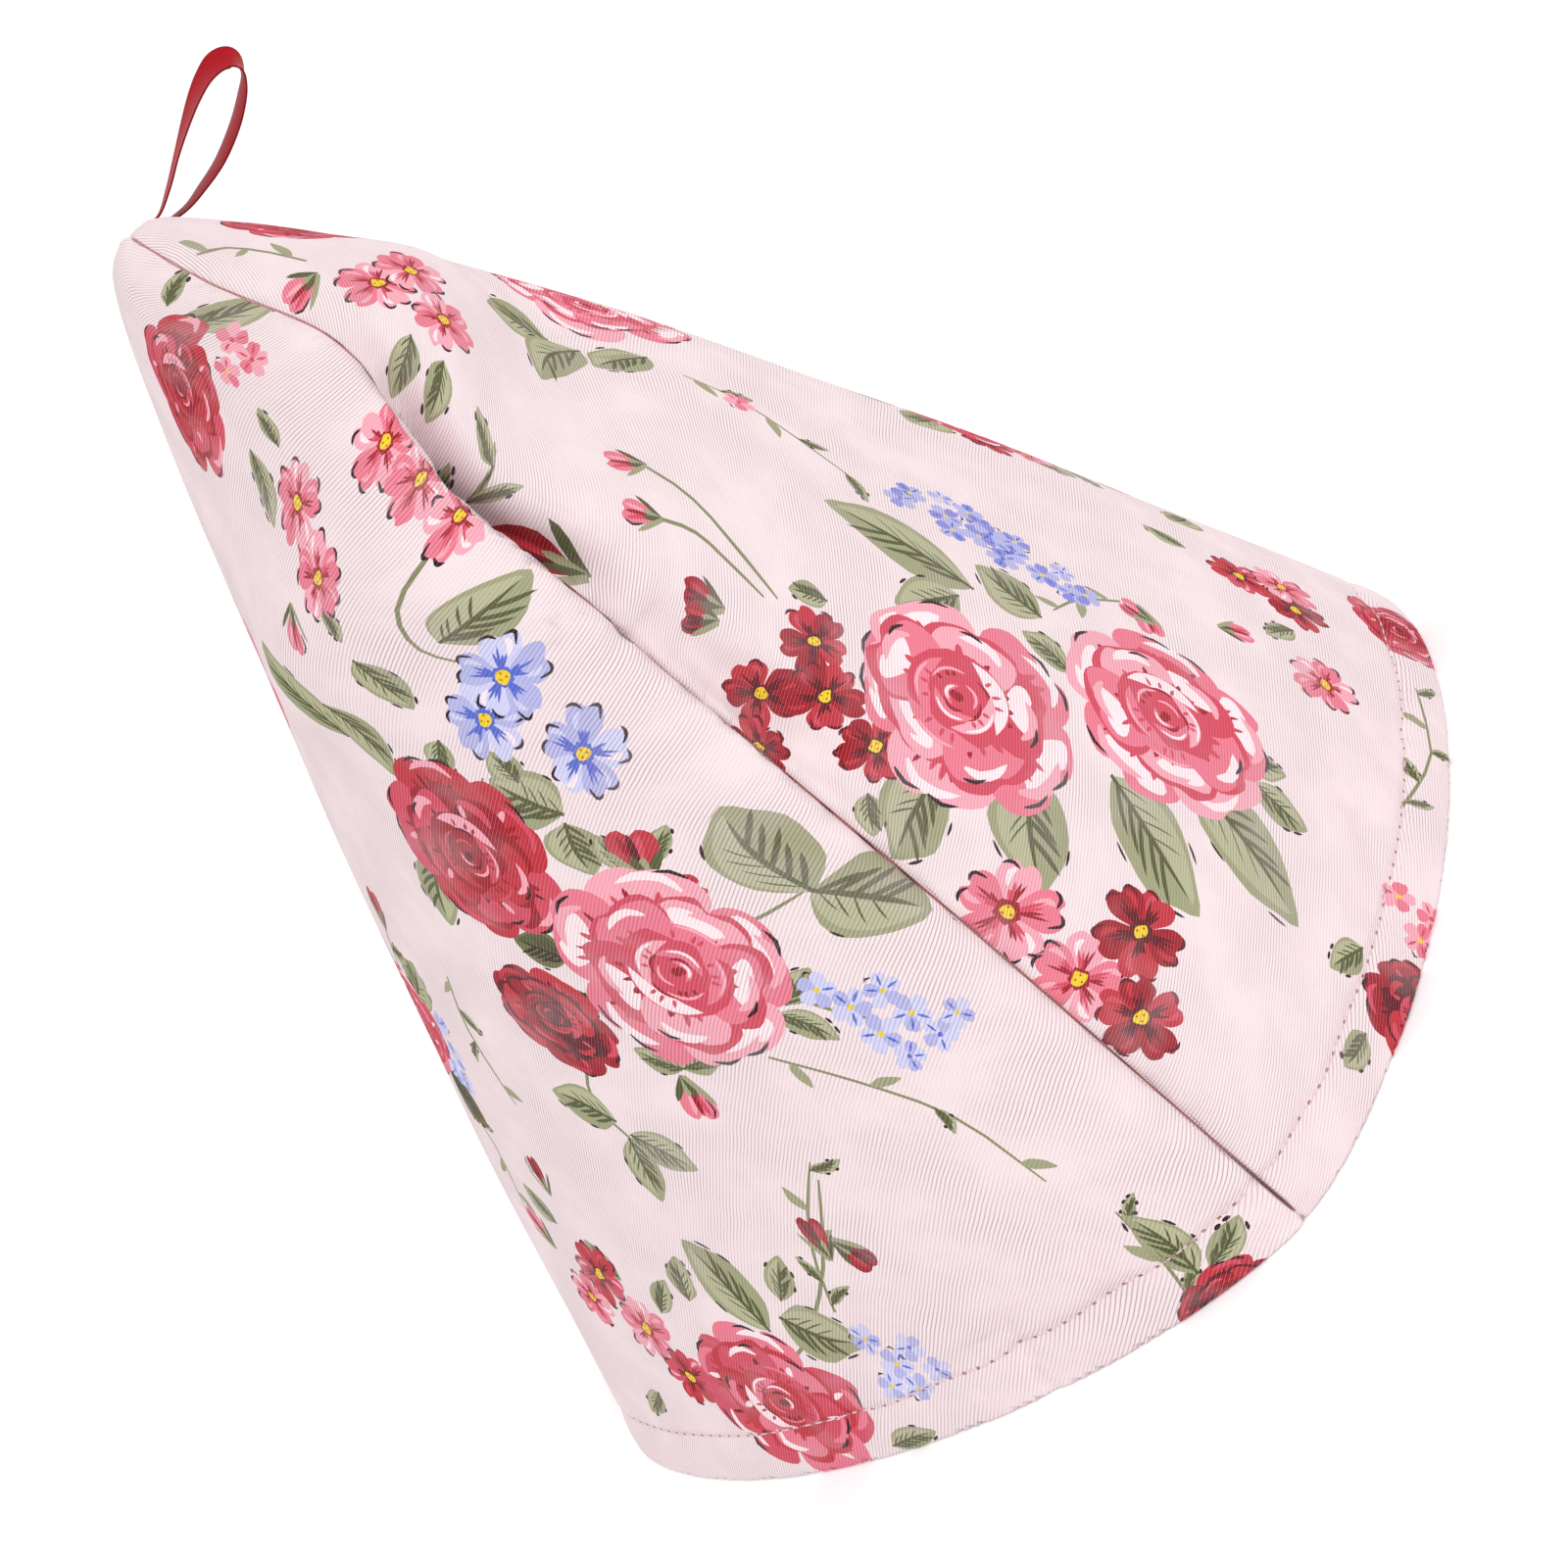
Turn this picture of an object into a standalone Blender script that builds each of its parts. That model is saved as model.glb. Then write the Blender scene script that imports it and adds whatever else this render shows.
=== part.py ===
"""Two-panel padded tea cosy, open at the hem, with a ribbon loop at its peak.

Metres, +Z up. The origin is on the surface it stands on, under the middle of the hem.
The two seams lie in the plane x = 0, the front one at -Y, and each panel curves round one side.
"""

from math import atan2, cos, degrees, exp, hypot, pi, radians, sin

import bmesh
import bpy
from mathutils import Vector

# Overall form
HEIGHT = 0.2255
HALF_DEPTH = 0.111  # at the hem, from the middle to a panel
HALF_WIDTH = 0.1325  # at the hem, from the middle to a seam
FLARE_TOP = 0.230  # height at which the flare would come to a point
DEPTH_TAPER = 0.783
WIDTH_TAPER = 0.491
HEM_ROUNDNESS = 1.51  # exponent of the section's superellipse
PEAK_ROUNDNESS = 1.98
PEAK_DEPTH_RADIUS = 0.012
PEAK_WIDTH_RADIUS = 0.040
PEAK_REACH = 0.030
BLEND = 6  # how sharply the round peak turns into the flare
WALL = 0.0035
SEAM_GAP = 0.0003

# How the cloth hangs
PEAK_LEAN = 0.0028
PEAK_LEAN_REACH = 0.025
SEAM_TROUGH = 0.0022
SEAM_TROUGH_SPREAD = 0.0030
FRONT_REACH = 0.030  # the front seam's wander fades out this far behind it
SEAM_WANDER = (
    {"height": 0.1930, "run": 0.0160, "shift": 0.0055},
    {"height": 0.1150, "run": 0.0300, "shift": -0.0020},
)

# Folds and hollows. turn is in degrees round the cosy from the front seam, over the right panel.
# depth goes inwards, run is half the length down the cloth, spread half the width across it.
FOLDS = (
    {"turn": 4, "height": 0.1610, "run": 0.0240, "spread": 0.0062, "depth": 0.0105},
    {"turn": -7, "height": 0.1600, "run": 0.0260, "spread": 0.0080, "depth": -0.0030},
    {"turn": 4, "height": 0.1365, "run": 0.0040, "spread": 0.0060, "depth": -0.0028},
    {"turn": 3, "height": 0.1150, "run": 0.0190, "spread": 0.0060, "depth": 0.0030},
    {"turn": 17, "height": 0.1480, "run": 0.0300, "spread": 0.0150, "depth": 0.0022},
    {"turn": 52, "height": 0.0900, "run": 0.0500, "spread": 0.0280, "depth": 0.0022},
    {"turn": -34, "height": 0.0600, "run": 0.0400, "spread": 0.0300, "depth": 0.0024},
    {"turn": -62, "height": 0.1300, "run": 0.0450, "spread": 0.0220, "depth": 0.0016},
    {"turn": 128, "height": 0.0850, "run": 0.0480, "spread": 0.0240, "depth": 0.0030},
    {"turn": 168, "height": 0.1350, "run": 0.0350, "spread": 0.0090, "depth": 0.0045},
    {"turn": 193, "height": 0.0800, "run": 0.0400, "spread": 0.0120, "depth": 0.0030},
    {"turn": 236, "height": 0.1150, "run": 0.0500, "spread": 0.0260, "depth": 0.0026},
)
INWARD_BELOW_PEAK = 0.030  # near the peak, inwards turns to point down at the axis this far below it

# Ribbon loop: the path of its middle line from the seam, round and back, and its twist in degrees
RIBBON_WIDTH = 0.0060
RIBBON_THICKNESS = 0.0009
RIBBON_PATH = (
    (-0.0032, 0.0165, 0.2222, 0),
    (-0.0026, 0.0162, 0.2233, 0),
    (-0.0002, 0.0153, 0.2241, 0),
    (0.0042, 0.0140, 0.2229, -2),
    (0.0092, 0.0130, 0.2248, 3),
    (0.0143, 0.0123, 0.2275, 5),
    (0.0199, 0.0120, 0.2302, 12),
    (0.0245, 0.0120, 0.2321, 22),
    (0.0281, 0.0120, 0.2331, 34),
    (0.0315, 0.0120, 0.2332, 46),
    (0.0337, 0.0120, 0.2318, 44),
    (0.0336, 0.0120, 0.2291, 12),
    (0.0312, 0.0120, 0.2268, -8),
    (0.0272, 0.0122, 0.2244, -10),
    (0.0230, 0.0125, 0.2226, -10),
    (0.0185, 0.0130, 0.2212, -10),
    (0.0140, 0.0138, 0.2205, -10),
    (0.0092, 0.0152, 0.2202, -6),
    (0.0045, 0.0182, 0.2214, 0),
    (0.0012, 0.0190, 0.2225, 0),
    (-0.0010, 0.0190, 0.2220, 0),
)

# Mesh steps
ROWS = 34
COLUMNS = 36
ROW_CROWDING = 1.5  # rows close up towards the peak
COLUMN_CROWDING = 0.55  # columns close up towards the seams
RIBBON_STEPS = 3  # between two points of the path


def rounded(cap, flare):
    """The smaller of two sizes, with a soft change from one to the other."""
    if cap <= 0:
        return 0.0
    return (cap**-BLEND + flare**-BLEND) ** (-1 / BLEND)


def half_size(z, at_hem, taper, peak_radius):
    below = max(HEIGHT - z, 0.0)
    cap = (2 * peak_radius * below) ** 0.5 * (1 + below / PEAK_REACH)
    return rounded(cap, at_hem * ((FLARE_TOP - z) / FLARE_TOP) ** taper)


def smooth_point(side, angle, z):
    """A point of the evenly filled cosy: angle runs from the front seam (-pi/2) to the back one (pi/2)."""
    power = 2 / (HEM_ROUNDNESS + (PEAK_ROUNDNESS - HEM_ROUNDNESS) * z / FLARE_TOP)
    across = max(cos(angle), 0.0) ** power
    along = abs(sin(angle)) ** power * (1 if angle > 0 else -1)
    x = SEAM_GAP / 2 + half_size(z, HALF_DEPTH, DEPTH_TAPER, PEAK_DEPTH_RADIUS) * across
    y = half_size(z, HALF_WIDTH, WIDTH_TAPER, PEAK_WIDTH_RADIUS) * along
    return Vector((side * x, y, z))


def smooth_normal(side, angle, z):
    """Outward normal, from points a little to each side. At a seam it has no part across the seam."""
    step = 0.004
    low, high = max(angle - step, -pi / 2), min(angle + step, pi / 2)
    around = smooth_point(side, high, z) - smooth_point(side, low, z)
    rise = smooth_point(side, angle, min(z + 2e-4, HEIGHT)) - smooth_point(side, angle, z - 2e-4)
    normal = around.cross(rise) if side > 0 else rise.cross(around)
    if pi / 2 - abs(angle) < 1e-6:
        normal.x = 0
    return normal.normalized()


def bell(distance, reach):
    return exp(-((distance / reach) ** 2))


def turn_of(point):
    return degrees(atan2(point.x, -point.y))


def fold_depth(point):
    radius = hypot(point.x, point.y)
    total = 0.0
    for fold in FOLDS:
        turned = (turn_of(point) - fold["turn"] + 180) % 360 - 180
        total += (
            fold["depth"]
            * bell(radians(turned) * radius, fold["spread"])
            * bell(point.z - fold["height"], fold["run"])
        )
    return total


def sideways(point):
    """How far the peak leans and the front seam wanders, along X. It moves both panels alike."""
    front = min(max(-point.y / FRONT_REACH, 0.0), 1.0) ** 2
    wander = sum(w["shift"] * bell(point.z - w["height"], w["run"]) for w in SEAM_WANDER)
    return wander * front - PEAK_LEAN * bell(HEIGHT - point.z, PEAK_LEAN_REACH)


def hang(point):
    """The move that takes a point of the evenly filled cosy to where its cloth hangs."""
    aim = Vector((0, 0, min(point.z, HEIGHT - INWARD_BELOW_PEAK)))
    inward = (aim - point).normalized()
    if point.z < 1e-6:
        inward.z = 0
    trough = SEAM_TROUGH * bell(point.x, SEAM_TROUGH_SPREAD)
    return inward * (trough + fold_depth(point)) + Vector((sideways(point), 0, 0))


def row_height(row):
    return HEIGHT * (1 - (1 - row / ROWS) ** ROW_CROWDING)


def column_angle(column):
    share = column / COLUMNS
    return (share - COLUMN_CROWDING * sin(2 * pi * share) / (2 * pi) - 0.5) * pi


def wall_points(side, row, column):
    """The outer point and the one behind it on the inner side of the padding."""
    z = row_height(row)
    angle = column_angle(column)
    point = smooth_point(side, angle, z)
    normal = Vector((0, 0, 1)) if row == ROWS else smooth_normal(side, angle, z)
    inner = point - normal * WALL
    inner.z = max(inner.z, 0.0) if row else 0.0
    if column in (0, COLUMNS) or row == ROWS:
        inner.x = point.x
    move = hang(point)
    return point + move, inner + move


def build_panel(name, side, material, collection):
    """A padded sheet, lofted through sections that change from a pointed oval to a round one."""
    mesh_build = bmesh.new()
    outer, inner = [], []
    for row in range(ROWS):
        pairs = [wall_points(side, row, column) for column in range(COLUMNS + 1)]
        outer.append([mesh_build.verts.new(pair[0]) for pair in pairs])
        inner.append([mesh_build.verts.new(pair[1]) for pair in pairs])
    outer_peak, inner_peak = (mesh_build.verts.new(p) for p in wall_points(side, ROWS, COLUMNS))
    outer.append([outer_peak] * (COLUMNS + 1))
    inner.append([inner_peak] * (COLUMNS + 1))

    def face(*corners):
        distinct = list(dict.fromkeys(corners))
        mesh_build.faces.new(distinct)

    for row in range(ROWS):
        for column in range(COLUMNS):
            for skin in (outer, inner):
                face(skin[row][column], skin[row][column + 1], skin[row + 1][column + 1], skin[row + 1][column])
        for column in (0, COLUMNS):
            face(outer[row][column], outer[row + 1][column], inner[row + 1][column], inner[row][column])
    for column in range(COLUMNS):
        face(outer[0][column], outer[0][column + 1], inner[0][column + 1], inner[0][column])
    bmesh.ops.recalc_face_normals(mesh_build, faces=mesh_build.faces)
    return finish(name, mesh_build, material, collection)


def curve_through(points, steps):
    """A smooth line through the points, with this many steps between two of them."""
    places = []
    for i in range(len(points) - 1):
        before, start = points[max(i - 1, 0)], points[i]
        end, after = points[i + 1], points[min(i + 2, len(points) - 1)]
        for step in range(steps):
            t = step / steps
            places.append(
                0.5
                * (
                    2 * start
                    + (end - before) * t
                    + (2 * before - 5 * start + 4 * end - after) * t**2
                    + (3 * start - before - 3 * end + after) * t**3
                )
            )
    places.append(points[-1])
    return places


def build_ribbon(name, material, collection):
    """A flat band carried along the loop's path and turned by the path's twist."""
    line = curve_through([Vector(point) for point in RIBBON_PATH], RIBBON_STEPS)
    mesh_build = bmesh.new()
    rings = []
    for i, point in enumerate(line):
        place, twist = point.to_3d(), radians(point.w)
        tangent = (line[min(i + 1, len(line) - 1)] - line[max(i - 1, 0)]).to_3d().normalized()
        level = (Vector((0, 1, 0)) - tangent * tangent.y).normalized()
        width_way = level * cos(twist) + tangent.cross(level) * sin(twist)
        thick_way = tangent.cross(width_way).normalized()
        corners = ((1, 1), (1, -1), (-1, -1), (-1, 1))
        rings.append(
            [
                mesh_build.verts.new(
                    place + width_way * (u * RIBBON_WIDTH / 2) + thick_way * (v * RIBBON_THICKNESS / 2)
                )
                for u, v in corners
            ]
        )
    for ring, following in zip(rings, rings[1:]):
        for k in range(4):
            mesh_build.faces.new((ring[k], ring[(k + 1) % 4], following[(k + 1) % 4], following[k]))
    mesh_build.faces.new(rings[0])
    mesh_build.faces.new(reversed(rings[-1]))
    bmesh.ops.recalc_face_normals(mesh_build, faces=mesh_build.faces)
    return finish(name, mesh_build, material, collection)


def finish(name, mesh_build, material, collection):
    mesh = bpy.data.meshes.new(name)
    mesh_build.to_mesh(mesh)
    mesh_build.free()
    mesh.shade_smooth()
    mesh.set_sharp_from_angle(angle=radians(40))
    mesh.materials.append(material)
    piece = bpy.data.objects.new(name, mesh)
    collection.objects.link(piece)
    return piece


def cloth_material(name, color, roughness):
    material = bpy.data.materials.new(name)
    material.use_nodes = True
    shader = material.node_tree.nodes["Principled BSDF"]
    shader.inputs["Base Color"].default_value = (*color, 1)
    shader.inputs["Roughness"].default_value = roughness
    shader.inputs["Metallic"].default_value = 0.0
    return material


def main():
    for piece in list(bpy.data.objects):
        bpy.data.objects.remove(piece)
    collection = bpy.data.collections.new("tea_cosy")
    bpy.context.scene.collection.children.link(collection)
    cotton = cloth_material("printed_cotton", (0.93, 0.79, 0.79), 0.9)
    satin = cloth_material("red_satin", (0.42, 0.01, 0.03), 0.4)
    build_panel("panel_left", -1, cotton, collection)
    build_panel("panel_right", 1, cotton, collection)
    build_ribbon("ribbon_loop", satin, collection)


main()
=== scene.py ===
import random
from cmath import exp as turnBy, phase
from math import cos, pi, radians, sin

import bmesh
import bpy
import numpy as np
from mathutils import Matrix, Vector
from mathutils.geometry import delaunay_2d_cdt


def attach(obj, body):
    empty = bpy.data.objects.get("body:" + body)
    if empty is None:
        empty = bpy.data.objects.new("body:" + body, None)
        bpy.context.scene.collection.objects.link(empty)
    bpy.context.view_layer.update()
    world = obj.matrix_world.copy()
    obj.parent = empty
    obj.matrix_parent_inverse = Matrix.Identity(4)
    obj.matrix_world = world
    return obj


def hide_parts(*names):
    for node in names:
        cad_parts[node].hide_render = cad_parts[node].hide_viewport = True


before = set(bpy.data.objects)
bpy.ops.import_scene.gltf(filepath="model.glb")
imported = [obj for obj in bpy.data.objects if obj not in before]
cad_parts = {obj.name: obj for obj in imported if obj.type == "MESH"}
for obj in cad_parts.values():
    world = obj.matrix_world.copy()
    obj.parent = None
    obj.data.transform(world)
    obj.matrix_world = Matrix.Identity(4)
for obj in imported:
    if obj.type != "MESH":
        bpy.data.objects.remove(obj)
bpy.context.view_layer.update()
mm = 0.001


# Shaders. A wrapped socket takes part in plain sums.

class Reading:
    def __init__(self, shader, socket):
        self.shader, self.socket = shader, socket

    def math(self, operation, other=None, swap=False):
        values = [self] if other is None else ([other, self] if swap else [self, other])
        return self.shader.node("Math", {"operation": operation}, dict(enumerate(values)))

    def __add__(self, other):
        return self.math("ADD", other)

    def __sub__(self, other):
        return self.math("SUBTRACT", other)

    def __rsub__(self, other):
        return self.math("SUBTRACT", other, swap=True)

    def __mul__(self, other):
        return self.math("MULTIPLY", other)

    def wave(self):  # a sine wave from 0 to 1
        return self.math("SINE") * 0.5 + 0.5

    def held(self, low, high=1.0):  # kept between two values
        return self.math("MAXIMUM", low).math("MINIMUM", high)

    __radd__, __rmul__ = __add__, __mul__


class Shader:
    def __init__(self, name):
        self.material = bpy.data.materials.new(name)
        self.material.use_nodes = True
        self.tree = self.material.node_tree
        self.surface = self.tree.nodes["Principled BSDF"]

    def node(self, kind, settings=None, inputs=None, out=0):
        made = self.tree.nodes.new("ShaderNode" + kind)
        for key, value in (settings or {}).items():
            setattr(made, key, value)
        for key, value in (inputs or {}).items():
            self.join(made.inputs[key], value)
        return Reading(self, made.outputs[out])

    def join(self, socket, value):
        if isinstance(value, Reading):
            self.tree.links.new(value.socket, socket)
        else:
            socket.default_value = value

    def mixColor(self, factor, first, second):
        return self.node("Mix", {"data_type": "RGBA"}, {0: factor, 6: first, 7: second}, out=2)

    def noise(self, place, scale, detail=2.0, roughness=0.5):
        inputs = {"Vector": place, "Scale": scale, "Detail": detail, "Roughness": roughness}
        return self.node("TexNoise", {}, inputs)

    def split(self, place):  # the first two parts of a place
        outputs = self.node("SeparateXYZ", {}, {0: place}).socket.node.outputs
        return Reading(self, outputs[0]), Reading(self, outputs[1])

    def bump(self, strength, distance, height, **under):
        return self.node("Bump", {}, {"Strength": strength, "Distance": distance, "Height": height, **under})

    def finish(self, inputs):
        for key, value in inputs.items():
            self.join(self.surface.inputs[key], value)
        return self.material


def linear(*screen):  # a screen colour, 0 to 255, as light
    shares = [value / 255 for value in screen]
    return tuple(v / 12.92 if v <= 0.04045 else ((v + 0.055) / 1.055) ** 2.4 for v in shares)


def opaque(*screen):
    return (*linear(*screen), 1)


def addObject(name, data):
    made = bpy.data.objects.new(name, data)
    bpy.context.scene.collection.objects.link(made)
    return made


# The cosy's form, close to that of the solids, in metres

form = {
    "height": 0.2255, "halfDepth": 0.111, "halfWidth": 0.1325, "flareTop": 0.23,
    "depthTaper": 0.783, "widthTaper": 0.491, "hemRoundness": 1.51, "peakRoundness": 1.98,
    "peakDepthRadius": 0.012, "peakWidthRadius": 0.04, "peakReach": 0.03, "blend": 6,
    "wall": 0.0035, "gap": 0.00004,
    "lean": 0.0028, "leanReach": 0.025, "trough": 0.0022, "troughSpread": 0.003, "closedPeak": 0.95,
    "frontReach": 0.03, "inwardBelowPeak": 0.03,
    "wander": [  # of the front seam: height, run, shift
        (0.193, 0.016, 0.005), (0.162, 0.015, -0.0058), (0.115, 0.03, -0.002),
    ],
    "lips": [  # height, reach below and above it, x, spread, shift, depth at which it has faded
        (0.16, 0.018, 0.023, -0.0036, 0.0058, 0.0066, 0.0085),
        (0.112, 0.026, 0.018, -0.003, 0.005, 0.0032, 0.005),
    ],
}

# Turn in degrees from the front seam, height, reach below and above it, before and after it, depth inwards
folds = [
    (2.8, 0.16, 0.017, 0.024, 0.0036, 0.0036, 0.0125),
    (-7, 0.16, 0.026, 0.026, 0.008, 0.008, -0.0034),
    (9.5, 0.158, 0.02, 0.026, 0.0048, 0.012, -0.0048),
    (4, 0.1365, 0.004, 0.004, 0.006, 0.006, -0.003),
    (3.4, 0.112, 0.024, 0.019, 0.0034, 0.005, 0.0058),
    (-4, 0.113, 0.026, 0.024, 0.006, 0.007, -0.0018),
    (10, 0.112, 0.024, 0.02, 0.006, 0.01, -0.001),
    (22, 0.148, 0.03, 0.03, 0.015, 0.015, 0.002),
    (2.5, 0.064, 0.024, 0.024, 0.0045, 0.006, 0.0022),
    (52, 0.09, 0.05, 0.05, 0.028, 0.028, 0.0022),
    (-34, 0.06, 0.04, 0.04, 0.03, 0.03, 0.0024),
    (-62, 0.13, 0.045, 0.045, 0.022, 0.022, 0.0016),
    (128, 0.085, 0.048, 0.048, 0.024, 0.024, 0.003),
    (168, 0.135, 0.035, 0.035, 0.009, 0.009, 0.0045),
    (193, 0.08, 0.04, 0.04, 0.012, 0.012, 0.003),
    (236, 0.115, 0.05, 0.05, 0.026, 0.026, 0.0026),
]


def bell(distance, reach):
    return np.exp(-(distance / reach) ** 2)


def halfSize(z, atHem, taper, peakRadius):
    below = np.maximum(form["height"] - z, 1e-8)
    cap = np.sqrt(2 * peakRadius * below) * (1 + below / form["peakReach"])
    flare = atHem * ((form["flareTop"] - z) / form["flareTop"]) ** taper
    return (cap ** -form["blend"] + flare ** -form["blend"]) ** (-1 / form["blend"])


def smoothPoint(side, angle, z):  # a point of the evenly filled cosy
    power = 2 / (form["hemRoundness"] + (form["peakRoundness"] - form["hemRoundness"]) * z / form["flareTop"])
    across = np.maximum(np.cos(angle), 0) ** power
    along = np.abs(np.sin(angle)) ** power * np.sign(angle)
    x = form["gap"] / 2 + halfSize(z, form["halfDepth"], form["depthTaper"], form["peakDepthRadius"]) * across
    y = halfSize(z, form["halfWidth"], form["widthTaper"], form["peakWidthRadius"]) * along
    return np.stack([side * x, y, z], -1)


def unit(vectors):
    return vectors / np.maximum(np.linalg.norm(vectors, axis=-1, keepdims=True), 1e-12)


def smoothNormal(side, angle, z):
    step = 0.004
    low, high = np.maximum(angle - step, -pi / 2), np.minimum(angle + step, pi / 2)
    around = smoothPoint(side, high, z) - smoothPoint(side, low, z)
    top, bottom = np.minimum(z + 2e-4, form["height"]), z - 2e-4
    rise = smoothPoint(side, angle, top) - smoothPoint(side, angle, bottom)
    normal = unit(np.cross(around, rise) * side)
    normal[form["height"] - z < 1e-5] = (0, 0, 1)
    return normal


# The flat cut of a panel: metres from the peak, as if the panel were unrolled and seen from outside.
# Its distance from the peak is the slant height, and its turn is the way round the cosy over that.

def makeCut():
    rows = form["height"] * (1 - (1 - np.linspace(0, 1, 320)) ** 1.7)
    angles = np.linspace(-pi / 2, pi / 2, 361)
    angles = angles + 0.3 * np.sin(2 * angles)  # closer together at the seams
    angleGrid, rowGrid = np.meshgrid(angles, rows)
    points = smoothPoint(1, angleGrid, rowGrid)
    steps = np.linalg.norm(np.diff(points[..., :2], axis=1), axis=-1)
    arcs = np.concatenate([np.zeros((len(rows), 1)), np.cumsum(steps, axis=1)], axis=1)
    middle = len(angles) // 2
    arcs = arcs - arcs[:, [middle]]
    profile = points[:, middle]
    slant = np.concatenate([[0], np.cumsum(np.linalg.norm(np.diff(profile, axis=0), axis=-1))])
    columns = 400
    shares = np.sin(np.linspace(-pi / 2, pi / 2, columns + 1))
    lookup = np.array([np.interp(shares * arc[-1], arc, angles) for arc in arcs])
    return {
        "rows": rows, "columns": columns, "slant": slant[-1] - slant, "reach": arcs[:, -1],
        "lookup": lookup, "long": slant[-1],
    }


cut = makeCut()


def reachAt(distance):  # half the cut's width, along the arc, at a distance from the peak
    return np.interp(distance, cut["slant"][::-1], cut["reach"][::-1])


def onArc(distance, ways):  # points of the cut at a distance from the peak, so far round from the middle
    return np.stack([distance * np.sin(ways / distance), -distance * np.cos(ways / distance)], -1)


# Height, angle, way round and distance from the seam of points of the flat cut
def clothPlace(flat, side):
    distance = np.minimum(np.hypot(flat[:, 0], flat[:, 1]), cut["long"])
    aside = np.arctan2(flat[:, 0], -flat[:, 1]) * distance
    row = np.interp(distance, cut["slant"][::-1], np.arange(len(cut["rows"]))[::-1])
    z = np.interp(row, np.arange(len(cut["rows"])), cut["rows"])
    reach = np.interp(row, np.arange(len(cut["rows"])), cut["reach"])
    share = np.clip(side * aside / np.maximum(reach, 1e-9), -1, 1)
    column = (np.arcsin(share) / pi + 0.5) * cut["columns"]
    i = np.minimum(row.astype(int), len(cut["rows"]) - 2)
    j = np.minimum(column.astype(int), cut["columns"] - 1)
    down, over = row - i, column - j
    table = cut["lookup"]
    angle = (
        table[i, j] * (1 - down) * (1 - over) + table[i + 1, j] * down * (1 - over)
        + table[i, j + 1] * (1 - down) * over + table[i + 1, j + 1] * down * over
    )
    return z, angle, share * reach, reach - np.abs(share) * reach


def evenOut(place):  # what undoes the form's stretch of the cut at a place, so that a flower stays round
    distance = min(abs(place) * mm, cut["long"] - 0.002)
    reach = reachAt(distance) - 0.003
    turned = np.clip(np.arctan2(place.real, -place.imag), -reach / distance, reach / distance)
    flat = distance * np.array([np.sin(turned), -np.cos(turned)])
    z, angle, _, _ = clothPlace(flat + 0.001 * np.array([(1, 0), (-1, 0), (0, 1), (0, -1)]), 1)
    points = smoothPoint(1, angle, z)
    moves = np.stack([points[0] - points[1], points[2] - points[3]], -1) / 0.002
    sizes, ways = np.linalg.eigh(moves.T @ moves)
    return ways @ np.diag(np.clip(sizes, 0.4, 2.6) ** -0.5) @ ways.T


# Sewn and creased detail on top of the main folds, in metres

sewing = {
    "seamRoll": 0.0016, "seamSink": 0.0011, "seamShade": 0.00022,
    "seamPucker": 0.00035, "seamPuckerReach": 0.007, "seamPuckerStep": 0.0085,
    "hemRoll": 0.001, "hemUp": 0.01, "stitchSink": 0.0008, "stitchSpread": 0.001,
    "hemPuff": 0.0004, "hemPucker": 0.00045, "broad": 0.00035,
}

# Panel side, place on the flat cut, way it runs in degrees, half length, half width and depth, in millimetres
creases = [
    (-1, 112, -214, 40, 14, 2.0, 1.4), (-1, 121, -216, 100, 9, 1.8, 1.2), (-1, 101, -222, 20, 12, 2.2, -1.1),
    (-1, 85, -55.5, 12, 7, 1.3, 1.0), (-1, 84, -59, 41, 7, 1.4, 0.9), (-1, 90.5, -62, 53, 8, 1.7, 0.9),
    (-1, 88, -218, 65, 16, 3.0, 1.0), (-1, 134, -204, 35, 12, 2.4, 1.1), (-1, 146, -180, 70, 18, 4.0, 0.8),
    (-1, 60, -150, 55, 40, 9.0, 0.9), (-1, 118, -172, 30, 34, 8.0, 0.9), (-1, 84, -36, -50, 22, 5.0, 0.8),
    (-1, 40, -100, -75, 45, 9.0, -0.8), (-1, -30, -190, 80, 40, 10.0, 1.2), (-1, -90, -120, 60, 35, 8.0, 1.0),
    (1, -109, -70, 70, 14, 2.6, 1.4), (1, -117, -80, 60, 16, 3.0, 1.5), (1, -100, -86, 72, 18, 3.0, 1.2),
    (1, -84, -46, 20, 9, 2.6, -1.1),
    (1, -89, -53, 10, 8, 2.0, 1.0), (1, -95, -58, 55, 16, 3.4, 0.9), (1, -100, -64, 100, 10, 2.4, -0.7),
    (1, -150, -160, 45, 26, 5.0, 0.8), (1, -122, -196, 30, 30, 7.0, 0.8), (1, -60, -120, 75, 46, 10.0, 0.9),
    (1, -143, -188, 20, 14, 3.0, 0.7), (1, -104, -215, 10, 16, 3.0, 0.6), (1, -70, -232, 100, 12, 2.6, 0.6),
    (1, 40, -180, 85, 44, 11.0, 1.2), (1, 95, -130, 120, 38, 8.0, 1.0), (1, 120, -205, 60, 14, 3.0, 0.7),
]


def turnOf(points):
    return np.degrees(np.arctan2(points[:, 0], -points[:, 1]))


def foldDepth(points):
    radius = np.hypot(points[:, 0], points[:, 1])
    total = np.zeros(len(points))
    for turn, height, below, above, before, after, depth in folds:
        turned = (turnOf(points) - turn + 180) % 360 - 180
        away = np.radians(turned) * radius
        rise = points[:, 2] - height
        hollow = bell(away, np.where(away < 0, before, after))
        total += depth * hollow * bell(rise, np.where(rise < 0, below, above))
    return total


def hemRoll(fromHem):  # how far the cloth turns in at its lower edge
    rolled = np.clip(1 - fromHem / sewing["hemRoll"], 0, 1)
    return sewing["hemRoll"] * (1 - np.sqrt(np.maximum(1 - rolled ** 2, 0)))


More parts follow.
